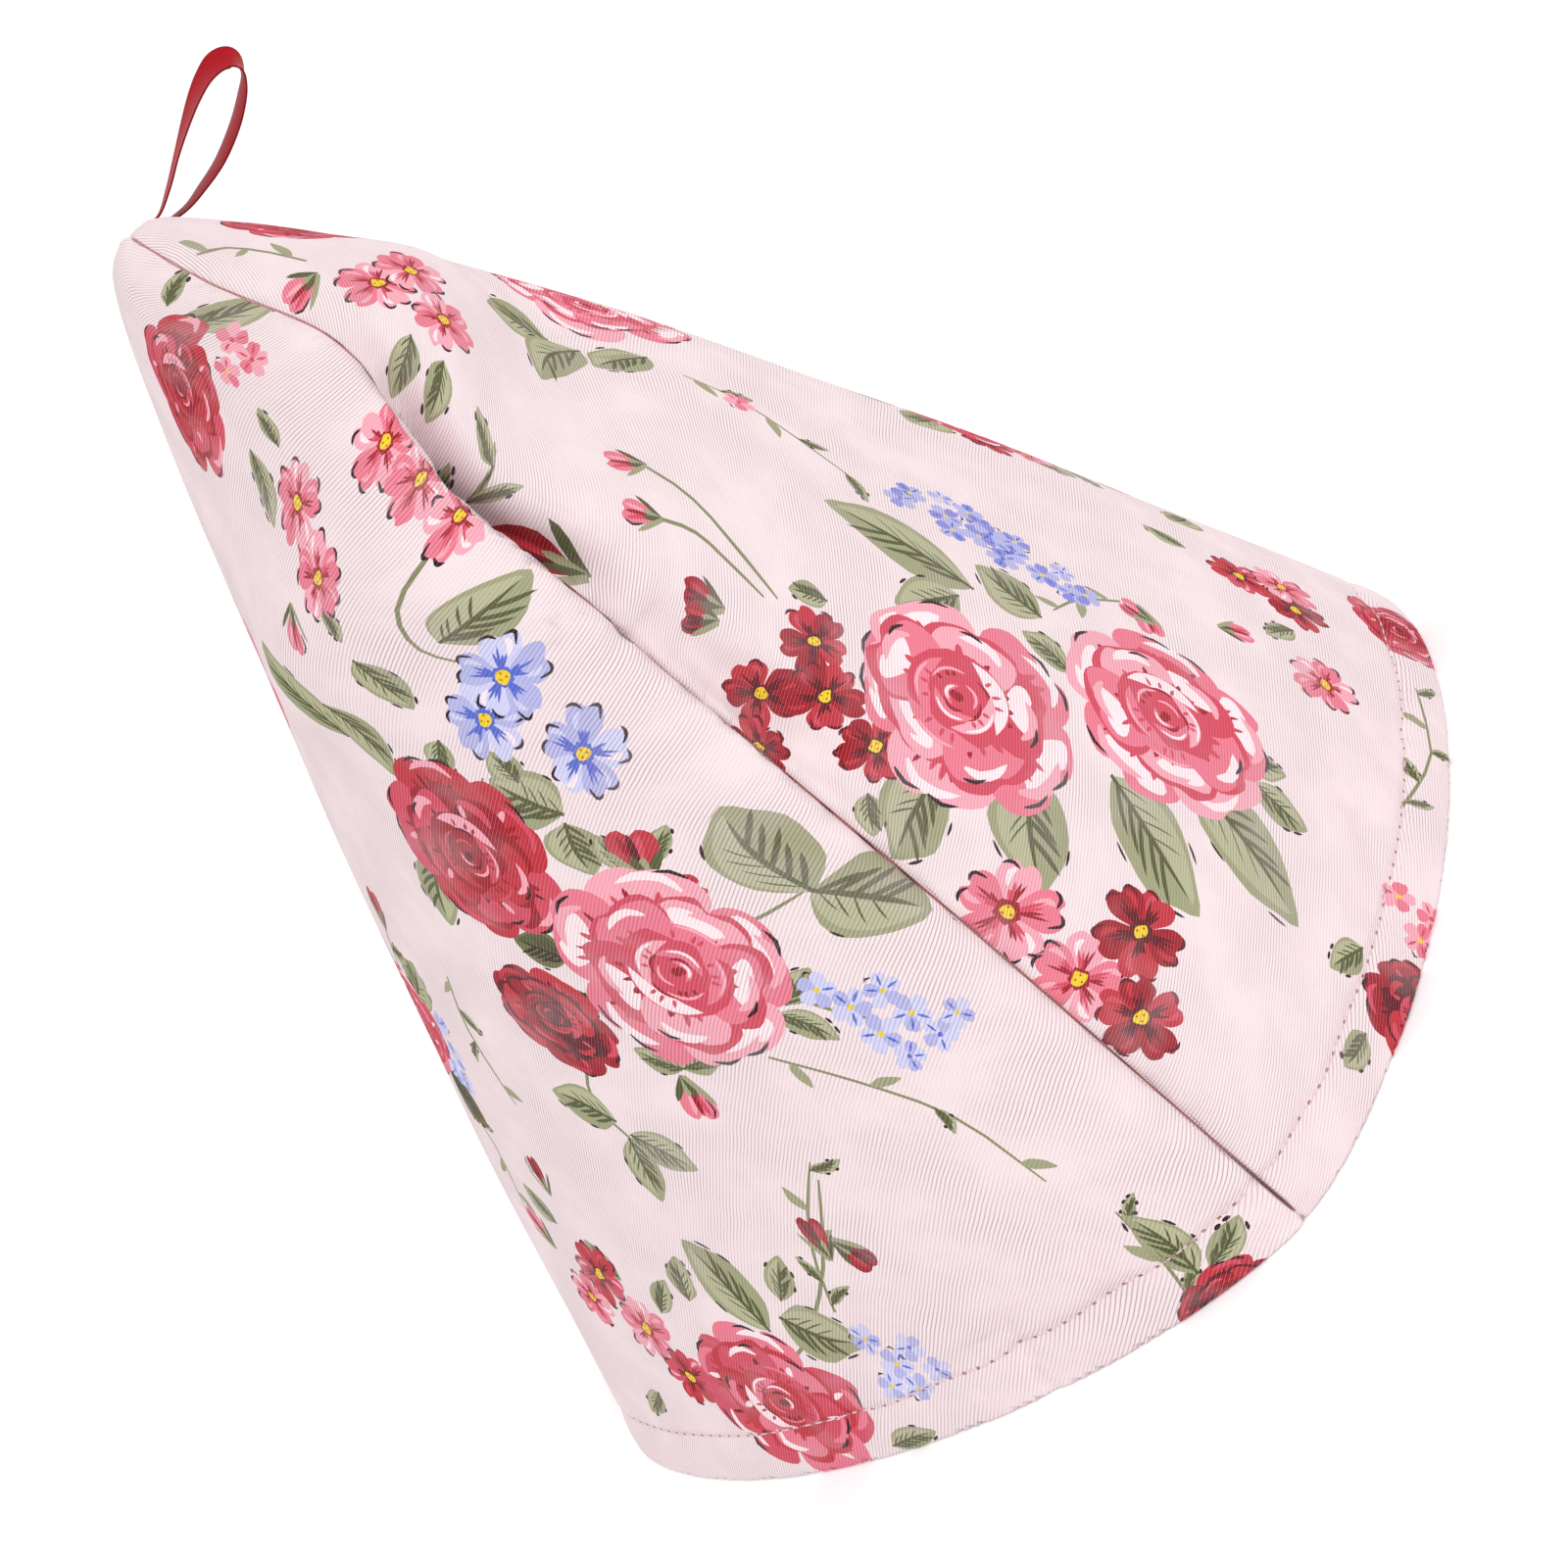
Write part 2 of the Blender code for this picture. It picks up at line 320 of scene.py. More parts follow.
def stitchDip(fromHem):
    return sewing["stitchSink"] * bell(fromHem - sewing["hemUp"], sewing["stitchSpread"])


def sewnDepth(flat, side, way, fromSeam, fromHem):
    ends = (1 - 0.7 * bell(fromHem, 0.012)) * (1 - 0.7 * bell(cut["long"] - fromHem, 0.05))
    depth = sewing["seamSink"] * np.clip(1 - fromSeam / sewing["seamRoll"], 0, 1) ** 2 * ends
    wave = np.sin(2 * pi * fromHem / sewing["seamPuckerStep"] + 2.2 * np.sin(fromHem / 0.019) + side)
    depth = depth + sewing["seamPucker"] * wave * bell(fromSeam, sewing["seamPuckerReach"])
    depth = depth + hemRoll(fromHem) + stitchDip(fromHem)
    depth = depth - sewing["hemPuff"] * bell(fromHem - sewing["hemUp"] / 2, 0.0035)
    ripple = np.sin(way / 0.0041 + 1.7 * np.sin(way / 0.023)) * (0.55 + 0.45 * np.sin(way / 0.037 + side))
    depth = depth + sewing["hemPucker"] * ripple * bell(fromHem - sewing["hemUp"], 0.0065)
    for panel, x, y, turned, run, spread, deep in creases:
        if panel != side:
            continue
        dx, dy = flat[:, 0] / mm - x, flat[:, 1] / mm - y
        c, s = cos(radians(turned)), sin(radians(turned))
        depth = depth + deep * mm * bell(dx * c + dy * s, run) * bell(dy * c - dx * s, spread)
    x, y = flat.T
    broad = np.sin(x / 0.017 + 1.3 * np.sin(y / 0.021 + side)) * np.sin(y / 0.024 + side)
    return depth + sewing["broad"] * broad * np.clip(fromHem / 0.02, 0, 1)


# The move from the evenly filled cosy to where its cloth hangs
def hang(points, sewn):
    aim = np.zeros_like(points)
    aim[:, 2] = np.minimum(points[:, 2], form["height"] - form["inwardBelowPeak"])
    inward = unit(aim - points)
    peak = bell(form["height"] - points[:, 2], form["leanReach"])
    trough = form["trough"] * (1 - form["closedPeak"] * peak) * (1 - 0.8 * bell(points[:, 2], 0.016))
    depth = trough * bell(points[:, 0], form["troughSpread"]) + foldDepth(points) + sewn
    front = np.clip(-points[:, 1] / form["frontReach"], 0, 1) ** 2
    sideways = sum(shift * bell(points[:, 2] - height, run) for height, run, shift in form["wander"]) * front
    sideways = sideways - form["lean"] * peak
    move = inward * depth[:, None]
    for height, below, above, x, spread, shift, deep in form["lips"]:
        rise = points[:, 2] - height
        over = shift * bell(points[:, 0] - x, spread) * bell(rise, np.where(rise < 0, below, above))
        sideways = sideways + over * np.clip(1 - depth / deep, 0, 1) * front
    move[:, 0] += sideways
    return move


# Where points of the flat cut hang, on the printed side or on the inner one
def clothPoints(flat, side, inner=False):
    z, angle, way, fromSeam = clothPlace(flat, side)
    points = smoothPoint(side, angle, z)
    fromHem = np.maximum(cut["long"] - np.hypot(flat[:, 0], flat[:, 1]), 0)
    if not inner:
        return points + hang(points, sewnDepth(flat, side, way, fromSeam, fromHem))
    normal = smoothNormal(side, angle, z)
    behind = points - normal * (form["wall"] - hemRoll(fromHem))[:, None]
    behind[:, 2] = np.maximum(behind[:, 2], np.minimum(z, 0.0002 * fromHem / mm))
    seam = fromSeam < 1e-6
    behind[seam, 0] = points[seam, 0]
    return behind + hang(points, stitchDip(fromHem) * -0.5)


def clothNormals(flat, side):
    step = 0.0002
    out = []
    for dx, dy in ((step, 0), (0, step)):
        shift = np.array([dx, dy])
        out.append(clothPoints(flat + shift, side) - clothPoints(flat - shift, side))
    return unit(np.cross(out[0], out[1]))


# The print: flowers drawn as flat patches, in millimetres, on the cut, one over another.
# A place is a complex number, so that a patch is turned by multiplying.

inks = {
    # seamShade and the stitch holes' colour are painted shade, not ink
    "ground": linear(238, 220, 222), "seamShade": linear(186, 124, 120), "holeShade": linear(168, 122, 124),
    "ink": linear(30, 14, 22),
    "wine": linear(92, 6, 14), "red": linear(156, 16, 30), "scarlet": linear(190, 44, 56),
    "rose": linear(208, 72, 92), "pink": linear(230, 120, 140), "blush": linear(242, 166, 180),
    "shell": linear(252, 228, 232),
    "leaf": linear(156, 158, 122), "leafLight": linear(178, 178, 144), "leafDark": linear(82, 88, 50),
    "olive": linear(108, 108, 66), "oliveDark": linear(48, 46, 28), "stem": linear(132, 136, 96),
    "blue": linear(178, 180, 226), "blueDark": linear(84, 104, 200), "blueLight": linear(206, 206, 238),
    "violet": linear(132, 138, 214), "yellow": linear(238, 204, 30), "orange": linear(186, 92, 34),
}

tones = {  # from the shadows to the lights
    "red": ("wine", "red", "scarlet", "rose", "blush"),
    "pink": ("red", "rose", "pink", "blush", "shell"),
    "warm": ("wine", "scarlet", "rose", "pink", "shell"),
    "deep": ("wine", "wine", "red", "scarlet", "rose"),
    "blue": ("blueDark", "blueDark", "blue", "blueLight", "shell"),
    "violet": ("ink", "blueDark", "violet", "blue", "blueLight"),
}


def smoothLine(points, steps=4, closed=False):
    count = len(points)
    line = []
    for i in range(count if closed else count - 1):
        before, start, end, after = (
            [points[(i + k) % count] for k in (-1, 0, 1, 2)] if closed
            else [points[min(max(i + k, 0), count - 1)] for k in (-1, 0, 1, 2)]
        )
        for step in range(steps):
            t = step / steps
            bend, sway = 2 * before - 5 * start + 4 * end - after, 3 * start - before - 3 * end + after
            line.append(0.5 * (2 * start + (end - before) * t + bend * t ** 2 + sway * t ** 3))
    return line if closed else line + [points[-1]]


# A brush stroke along the points, widest in the middle
def stroke(points, wide, start=0.25, end=0.0, steps=3):
    line = smoothLine(points, steps)
    left, right = [], []
    for i, place in enumerate(line):
        t = i / (len(line) - 1)
        way = line[min(i + 1, len(line) - 1)] - line[max(i - 1, 0)]
        way = way / (abs(way) or 1) * 1j
        least = start if t < 0.5 else end
        share = least + (1 - least) * sin(pi * t) ** 0.8
        left.append(place + way * wide / 2 * share)
        right.append(place - way * wide / 2 * share)
    return left + right[::-1]


def dab(patches, line, wide, start, color, steps=2, end=0.0):
    patches.append((stroke(line, wide, start, end, steps), color))


def fan(middle, size, way, spots, spread=1.0):  # places at shares of a size from a middle, turned from a way
    return [middle + size * share * turnBy(1j * (way + turn * spread)) for share, turn in spots]


def petalShape(base, way, long, wide, chance, notch=0.08, steps=2):
    sketch = [0, 0.22 + 0.26j, 0.58 + 0.49j, 0.87 + 0.42j, 1.0 + 0.17j, 1 - notch, 0.99 - 0.18j, 0.86 - 0.43j,
              0.56 - 0.48j, 0.22 - 0.25j]
    placed = []
    for point in sketch:
        wobble = 1 + chance.uniform(-0.05, 0.05)
        placed.append(base + complex(point.real * long, point.imag * wide) * wobble * turnBy(1j * way))
    return smoothLine(placed, steps, closed=True)


# Points round part of a circle, which may curl inwards
def arcLine(center, radius, start, span, shrink=0.0, count=6):
    return [center + radius * (1 - shrink * k / (count - 1)) * turnBy(1j * (start + span * k / (count - 1)))
            for k in range(count)]


def crescent(center, radius, start, span, thick, count=7):
    outer, inner = [], []
    for k in range(count):
        t = k / (count - 1)
        way = turnBy(1j * (start + span * t))
        outer.append(center + radius * way)
        inner.append(center + (radius - thick * sin(pi * t) ** 0.7) * way)
    return smoothLine(outer, 2) + smoothLine(inner[::-1][1:-1], 2)


# An oval blade, lighter on one half, with brushed veins and a few inked edges.
# A width below 0 makes a deep olive one.
def drawLeaf(patches, base, tip, wide, chance, shade=True):
    deepLeaf, wide = wide < 0, abs(wide)
    along = tip - base
    long = abs(along)
    way = along / long
    wide *= 1.34 if long > 11 else 1
    wide *= abs(complex(*(evenOut(base + along / 2) @ (way.imag, -way.real))))
    bend = chance.uniform(-0.09, 0.09) * long * 1j
    side = chance.choice((-1, 1))

    def spot(t, across=0.0):
        return base + way * (long * t + bend * sin(pi * t) + across * 1j * wide)

    upper, lower = [], []
    for t, half in ((0.05, 0.16), (0.2, 0.42), (0.42, 0.52), (0.66, 0.44), (0.86, 0.22)):
        upper.append(spot(t, half * (1 + chance.uniform(-0.1, 0.1))))
        lower.append(spot(t, -half * (1 + chance.uniform(-0.1, 0.1))))
    blade = smoothLine([base] + upper + [tip] + lower[::-1], 2, closed=True)
    patches.append((blade, "olive" if deepLeaf else "leaf"))
    if not shade:
        return
    light, dark = ("leafDark", "oliveDark") if deepLeaf else ("leafLight", "leafDark")
    edge = ((0.14, 0.26), (0.36, 0.42), (0.6, 0.38), (0.8, 0.2), (0.92, 0), (0.6, 0.05), (0.3, 0.05))
    patches.append((smoothLine([base] + [spot(t, side * a) for t, a in edge], 2, closed=True), light))
    dab(patches, [spot(t) for t in (-0.02, 0.3, 0.6, 0.88)], 0.05 * wide + 0.3, 0.8, dark, 3)
    for k in range(5):  # brushed veins, longer on the shaded half
        t = 0.06 + 0.13 * k + chance.uniform(-0.02, 0.02)
        reach = chance.uniform(0.26, 0.4) * (1 - 0.5 * abs(t - 0.3))
        line = [spot(t, -side * 0.02), spot(t + 0.13, -side * reach * 0.6), spot(t + 0.27, -side * reach)]
        dab(patches, line, 0.4 + 0.04 * wide, 0.75, dark)
        if k < 4:
            spots = ((0, 0.02), (0.11, reach * 0.5), (0.22, reach * 0.85))
            line = [spot(t + far, side * off) for far, off in spots]
            dab(patches, line, 0.32, 0.6, dark)
    for edge in (side, -side):
        for t in (0.3, 0.62, 0.8):
            if chance.random() < 0.4:
                line = [spot(t + k, edge * 0.53 * (1 - 2.6 * (t + k - 0.45) ** 2)) for k in (0, 0.07, 0.14)]
                dab(patches, line, 0.56, 0.3, "ink")


def drawStem(patches, points, wide=0.75):
    patches.append((stroke(points, wide, 0.9, 0.5), "stem"))


# Five round petals with brushed hearts, part of each edge inked, and a small yellow middle
def drawFlower(patches, at, size, tone, chance):
    dark, deep, mid, light, pale = tones[tone]
    turned = chance.uniform(0, 2 * pi)
    drawn = []
    for i in range(5):
        way = turned + i * 2 * pi / 5 + chance.uniform(-0.1, 0.1)
        base = 0.06 * size * turnBy(1j * way)
        long = size * chance.uniform(0.86, 1.0)
        drawn.append((petalShape(base, way, long, size * 0.84, chance, 0.1, 3), mid if i % 3 else light))
        side = chance.choice((-1, 1))
        gleam = fan(0, size, way, ((0.5, 0.34), (0.76, 0.26), (0.86, 0.1)), side)
        dab(drawn, gleam, size * 0.13, 0.3, light if i % 3 else pale)
        for offset in (-0.26, -0.1, 0.08, 0.25):
            far = chance.uniform(0.42, 0.8)
            streak = fan(0, size, way, ((0.14, 0.5), (0.36, 0.85), (far, 1.0)), offset)
            dab(drawn, streak, size * 0.07, 0.7, deep if offset * side > 0 or tone == "blue" else dark)
        for start in (-0.46, 0.08):
            if chance.random() < (0.9 if tone == "blue" else 0.6):
                first, last = 0.9 - 0.3 * abs(start), 0.97 - 0.1 * abs(start)
                rim = fan(base, long, way + start, ((first, 0), (0.98, 0.14), (1.0, 0.27), (last, 0.4)))
                dab(drawn, rim, size * 0.04 + 0.3, 0.35, "ink" if tone != "deep" else "wine")
    drawn.append((fan(0, size, turned, [(0.22 + 0.05 * (k % 2), k * pi / 5) for k in range(10)]), dark))
    heart = fan(0, size, turned, [(chance.uniform(0.12, 0.21), k * pi / 4) for k in range(8)])
    drawn.append((smoothLine(heart, 2, closed=True), "yellow"))
    for k in range(3):
        spot = size * 0.09 * turnBy(1j * (turned + k * 2.1))
        drawn.append((fan(spot, size, 0, [(0.035, j * pi / 2) for j in range(4)]), "orange"))
    addPlaced(patches, drawn, at)


def drawTiny(patches, at, size, tone, chance):
    _, deep, mid, light, _ = tones[tone]
    turned = chance.uniform(0, 2 * pi)
    drawn = []
    for i in range(5):
        way = turned + i * 2 * pi / 5
        drawn.append((petalShape(0, way, size, size * 0.8, chance, 0.05, steps=1), mid if i % 2 else light))
        if chance.random() < 0.5:
            dab(drawn, fan(0, size, way, ((0.3, 0), (0.6, 0), (0.95, 0))), size * 0.16, 0.5, deep, 1)
    if chance.random() < 0.6:
        dab(drawn, fan(0, size, turned, ((0.9, 0.4), (1.05, 0.65), (1.0, 0.9))), 0.5, 0.4, "ink", 1)
    middle = "yellow" if chance.random() < 0.6 else deep
    drawn.append((fan(0, size, 0, [(0.16, k * pi / 3) for k in range(6)]), middle))
    addPlaced(patches, drawn, at)


def drawBud(patches, base, tip, wide, tone, chance):
    dark, deep, mid, light, _ = tones[tone]
    way, long = phase(tip - base), abs(tip - base)
    patches.append((petalShape(base, way, long, wide, chance, 0.1), mid))
    for side, color in ((0.2, deep), (-0.16, light), (0.02, dark)):
        dab(patches, fan(base, long, way + side, ((0.25, 0), (0.6, 0), (0.92, 0))), wide * 0.16, 0.5, color)
    if chance.random() < 0.6:
        dab(patches, fan(base, long, way, ((0.5, 0.5), (0.8, 0.4), (0.98, 0.2))), 0.45, 0.4, "ink")
    for side, reach, color in (
        (-0.62, 0.7, "leafDark"), (-0.2, 0.42, "leaf"), (0.2, 0.45, "leafDark"), (0.62, 0.75, "leaf"),
    ):
        sepal = [base - (tip - base) * 0.14, *fan(base, long * reach, way, ((0.5, side * 1.2), (1, side)))]
        dab(patches, sepal, wide * 0.2, 0.8, color)


def drawSprig(patches, points, leaves, long, chance):
    drawStem(patches, points, 0.6)
    line = smoothLine(points, 6)
    for k in range(leaves):
        i = int((k + 0.6) / leaves * (len(line) - 1))
        way = phase(line[min(i + 1, len(line) - 1)] - line[max(i - 1, 0)])
        turned = way + (0.75 if k % 2 else -0.75) + chance.uniform(-0.2, 0.2)
        reach = long * chance.uniform(0.8, 1.15)
        drawLeaf(patches, line[i], line[i] + reach * turnBy(1j * turned), reach * 0.34, chance, reach > 6)


def addPlaced(patches, drawn, at, squash=1.0, lean=0.0):
    turned = turnBy(1j * lean)
    even = evenOut(at)
    for points, color in drawn:
        moved = []
        for point in points:
            point = point / turned
            point = complex(point.real, point.imag * squash) * turned
            x, y = even @ (point.real, point.imag)
            moved.append(at + complex(x, y))
        patches.append((moved, color))


# Where a ring's petals start, their width, how far the ring sits off the middle, its reach,
# the strokes on a petal and where they start, and how often an edge is inked
roseRings = ((0.16, 1.02, 0.0, 1.0, 5, 0.6, 0.7), (0.02, 0.78, 0.06, 0.7, 3, 0.36, 0.3))


# Broad outer petals round a cup of curled ones, brushed with shadow strokes, and a few inked edges
def drawRose(patches, at, size, tone, lean, squash, chance):
    dark, deep, mid, light, pale = tones[tone]
    bodies = ((mid, light, mid, mid, light), (light, mid, deep, light, mid))
    drawn = []
    turned = chance.uniform(0, 2 * pi)
    for ring, (start, wide, cup, reach, strokes, near, inked) in enumerate(roseRings):
        for i, body in enumerate(bodies[ring]):
            way = turned + ring * 0.63 + i * 2 * pi / 5 + chance.uniform(-0.12, 0.12)
            far = reach * chance.uniform(0.92, 1.06)
            middle = cup * size * turnBy(1j * turned)
            base = middle + start * size * turnBy(1j * way)
            petals = [(base, way, far - start, wide, 0.05, 3, body)]
            if ring:  # the shadow that the inner petal throws on the outer one
                petals.insert(0, (base, way + 0.05, far - start + 0.06, wide * 1.1, 0.04, 3, deep))
            if tone == "pink" and i % 2 == 0:
                fold = middle + size * far * 0.58 * turnBy(1j * (way + 0.12))
                petals.append((fold, way + 0.1, far * 0.36, wide * 0.62, 0.12, 2, pale))
            for root, turn, long, broad, notch, steps, color in petals:
                drawn.append((petalShape(root, turn, long * size, broad * size, chance, notch, steps), color))
            arc = wide / far * 0.4
            for k in range(strokes):
                a = arc * ((k + 0.5) / (strokes / 2) - 1) + chance.uniform(-0.04, 0.04)
                out = near + (far - near) * chance.uniform(0.25, 0.62)
                line = fan(middle, size, way, ((near - 0.06, 0.8), ((near + out) / 2, 0.94), (out, 1)), a)
                color = deep if body != deep and k % 3 else dark
                dab(drawn, line, size * chance.uniform(0.04, 0.075), 0.8, color)
            rim = fan(middle, size * far, way, ((0.84, -0.9), (0.93, -0.45), (0.93, 0.1), (0.88, 0.6)), arc)
            dab(drawn, rim, size * chance.uniform(0.07, 0.12), 0.3, pale if i % 2 else light)
            if i % 2 == 0:
                gleam = fan(middle, size * far, way, ((0.68, 0.2), (0.78, 0.35), (0.87, 0.4)), arc)
                dab(drawn, gleam, size * 0.07, 0.5, pale)
            for first in (-0.95, -0.1):
                if chance.random() <= inked:
                    spots = ((0.97, first), (1.0, first + 0.35), (0.97, first + 0.7))
                    dab(drawn, fan(middle, size * far, way, spots, arc), size * 0.02 + 0.34, 0.4, "ink")
    heart = 0.06 * size * turnBy(1j * turned)
    drawn.append((smoothLine(arcLine(heart, size * 0.46, 0, 2 * pi * 7 / 8, 0, 8), 2, closed=True), deep))
    for k, color in enumerate((mid, pale, mid, light, deep, mid, deep, mid)):
        # A curled petal: a crescent pushed off the middle, with a shadow, a lit edge and some spokes
        start, span = turned + k * 2.45 + chance.uniform(-0.3, 0.3), 2.0 + 0.16 * k
        center = heart + size * (0.07 - 0.007 * k) * turnBy(1j * (start + span / 2))
        radius, thick = size * (0.43 - 0.046 * k), size * (0.19 - 0.017 * k)
        drawn.append((crescent(center, radius, start, span, thick), color))
        shadow = arcLine(center, radius - thick * 0.9, start + 0.35, span - 0.7, 0.04, 5)
        dab(drawn, shadow, size * 0.035, 0.2, dark if k % 2 else deep, 2, 0.2)
        lit = arcLine(center, radius - size * 0.02, start + 0.5, span - 1.1, 0.0, 4)
        dab(drawn, lit, size * 0.03, 0.3, pale if k % 2 else light, 2, 0.2)
        for spoke in (0.35, 0.5, 0.68):
            way = start + span * spoke + chance.uniform(-0.08, 0.08)
            inner, long = radius - thick * 0.75, thick * chance.uniform(0.4, 0.6)
            if k < 5:
                line = [center + r * turnBy(1j * way) for r in (inner, inner + thick * 0.25, inner + long)]
                dab(drawn, line, size * 0.035, 0.8, deep if color != deep else dark, 1)
    drawn.append((arcLine(heart, size * 0.05, 0, 2 * pi * 5 / 6, 0, 6), dark))
    addPlaced(patches, drawn, at, squash, lean)


# Three bunches and the loose sprays. Columns:
# leaves and buds x, y, tip x, tip y, width (, tone); roses x, y, size, lean, squash, tone;
# flowers and tiny ones a tone, then x, y, size of each; sprigs leaves, leaf length, the stem's points.

bunchOne = {
    "stems": [[-10+14j, -16+22j, -14+30j], [0+8j, 4+12j, 8+19j], [4+2j, 10+6j, 14+8j],
        [8-4j, 20+0j, 29+6j], [-20-34j, -24-44j, -18-54j], [34-22j, 26-18j, 22-12j]],
    "sprigs": [(4, 6, [16-30j, 28-35j, 40-43j, 50-58j]), (4, 6, [-48-20j, -51-32j, -48-48j])],
    "leaves": [(-40, 34, -52, 52, 6), (-28, 56, -22, 44, 5.5), (-40, 42, -33, 26, 6),
        (-20, 37, -21, 28, 6.5), (-31, 10, -36, -6, 8), (-2, 24, -13, 30, 8), (-2, 22, 0, 11, 8),
        (30, 6, 20, 25, 10), (30, 6, 45, -2, 10), (-8, 30, -12, 36, 6), (6, 12, 2, 20, 4.5),
        (10, 14, 13, 22, 4.5), (-21, -48, -34, -43, 6), (-19, -51, -8, -58, 5.5),
        (-20, -52, -20, -66, 5.5), (22, -18, 27, -10, 6), (20, -20, 28, -26, 5), (-12, -10, -21, -6, -8),
        (-12, -18, -19, -24, -8), (0, -34, -8, -30, 5), (0, -34, 8, -31, 5)],
    "tiny": [("blue", (27, -15, 3.4), (31, -19, 3.6), (36, -16, 3.2), (39, -21, 3.4), (34, -25, 3.6),
        (42, -26, 3), (37, -30, 2.8), (45, -22, 2.8))],
    "buds": [(8, 11, 7, 21, 8, "red"), (9, 7, 16, 9, 6, "red"), (-1, -37, -1, -46, 7, "pink")],
    "flowers": [("blue", (-11, 43, 7.8), (-7, 53, 7.8), (3, 37, 7.8))],
    "roses": [(-22, -25, 14.5, -0.65, 0.7, "deep"), (-22, 13, 20.5, -0.63, 0.76, "red"),
        (6, -11, 22.5, -0.3, 0.86, "pink")],
}

bunchTwo = {
    "stems": [[29+58j, 23+50j, 14+42j, 8+37j], [19+60j, 17+52j, 12+45j, 8+40j]],
    "sprigs": [(3, 5, [30-44j, 26-34j, 20-26j])],
    "leaves": [(19, -8, 31, 18, 9.5), (16, -4, 11, 11, 8), (17, -22, 26, -12, 8.5), (6, -24, 12, -16, 6),
        (-16, 10, -29, 18, 8.5), (-14, -10, -32, -10, 9.5), (-12, -28, -31, -43, 9.5),
        (-8, -46, -28, -66, 10), (9, 26, 10, 34, 5), (2, -60, 0, -70, 6), (-4, -62, -10, -72, 5),
        (-22, 44, -26, 50, 4), (-20, 22, -26, 22, 5)],
    "tiny": [("violet", (43, -5, 3.2), (39, -11, 3.4), (36, -17, 3.6), (34, -23, 3.4), (30, -28, 3.4),
        (27, -33, 3.2), (41, -18, 2.8), (38, -25, 3)), ("blue", (45, -12, 2.6), (33, -33, 2.6)),
        ("violet", (40, -2, 3.2), (35, -11, 3.2), (31, -20, 3.2), (28, -36, 3), (38, -20, 3.2),
        (43, -17, 3))],
    "buds": [(29, 58, 30, 65, 4.5, "pink"), (19, 60, 21, 67, 4.5, "pink"), (27, -49, 30, -44, 6, "pink"),
        (6, 50, 9, 57, 5, "deep"), (4, 51, 5, 57, 5, "deep"), (12, 76, 20, 89, 8, "deep")],
    "flowers": [("deep", (2, 31, 6.2), (-6, 41, 6), (-6, 30, 6.2), (-14, 44, 6.4), (-13, 21, 6)),
        ("pink", (-35, -4, 8.8), (-43, -18, 7.6)), ("deep", (-35, -30, 8), (-47, -30, 7))],
    "roses": [(4, -45, 22, 0.65, 0.86, "pink"), (-4, 1, 21.5, 0.36, 0.88, "pink")],
}

bunchThree = {  # round the side, out of the camera's sight
    "stems": [[0+4j, 5+15j, 10+24j], [-2-8j, -8-20j, -6-30j]],
    "sprigs": [(4, 6, [6-10j, 14-22j, 12-36j])],
    "leaves": [(8, 8, 19, 18, 8), (-8, 6, -19, 14, 8), (-6, -10, -15, -22, 8), (6, -8, 16, -17, -7),
        (-1, 12, -5, 24, 6), (-7, -22, -15, -28, 5), (7, 18, 14, 17, 4.5)],
    "tiny": [("blue", (13, 3, 3.2), (17, -2, 3.4), (12, -6, 3.2), (18, 5, 3), (16, -8, 2.8))],
    "buds": [(10, 24, 12, 32, 6, "red"), (-6, -30, -4, -37, 5, "pink")],
    "flowers": [("deep", (-13, -3, 6.2)), ("pink", (-9, -13, 6.2))],
    "roses": [(0, 2, 14.5, 0.4, 0.86, "warm")],
}

# The sprays on the half that the camera sees of the left panel, then of the right one. Both carry all.
leftSprays = {
    "stems": [[68-36j, 65-48j, 67-58j, 73-62j], [64-226j, 80-214j, 92-196j, 99-176j]],
    "sprigs": [(5, 7, [90-206j, 92-190j, 99-172j]), (3, 7, [148-204j, 146-195j, 142-184j])],
    "leaves": [(18, 1, 12, 10, 4.5), (23, -3, 31, 7, 4.5), (33, -34, 39, -45, 4.5), (40, -29, 36, -22, 4),
        (70, -56, 79, -46, 8), (74, -211, 64, -192, 8), (78, -208, 92, -214, 8), (80, -204, 84, -194, 6),
        (150, -198, 143, -185, 5), (152, -197, 158, -188, 5), (52, -52, 55, -58, 3.5),
        (26, -194, 20, -186, 5), (48, -210, 54, -202, 5), (58, -206, 60, -196, 6), (40, -204, 34, -196, 5),
        (30, -232, 22, -238, 5), (88, -236, 98, -232, 5), (-8, -205, -18, -198, 6)],
    "tiny": [("pink", (30, -4, 3.4), (34, -9, 3.4), (31, -14, 3.2)), ("blue", (93, -212, 3.2),
        (97, -217, 3.4), (101, -213, 3), (99, -222, 3), (104, -218, 2.8), (94, -222, 2.8))],
    "buds": [(44, -56, 44, -64, 4, "pink"), (94, -193, 93, -185, 5, "deep"),
        (97, -190, 102, -195, 6, "deep"), (30, -186, 30, -178, 3.5, "deep"),
        (18, -200, 14, -192, 5, "pink")],
    "flowers": [("pink", (45, -37, 6.6), (51, -47, 6.6), (56, -22, 5.6), (62.5, -27.5, 5.4),
        (69, -34, 5.4)), ("red", (33, -204, 7.4)), ("pink", (40, -215, 7.4)), ("red", (46, -225, 6.6)),
        ("pink", (24, -211, 6.6))],
    "roses": [(21, -22, 16.5, -1.5, 0.6, "red"), (67, -228, 19.5, -0.45, 0.82, "warm"),
        (153, -205, 10, 0.4, 0.7, "deep")],
}

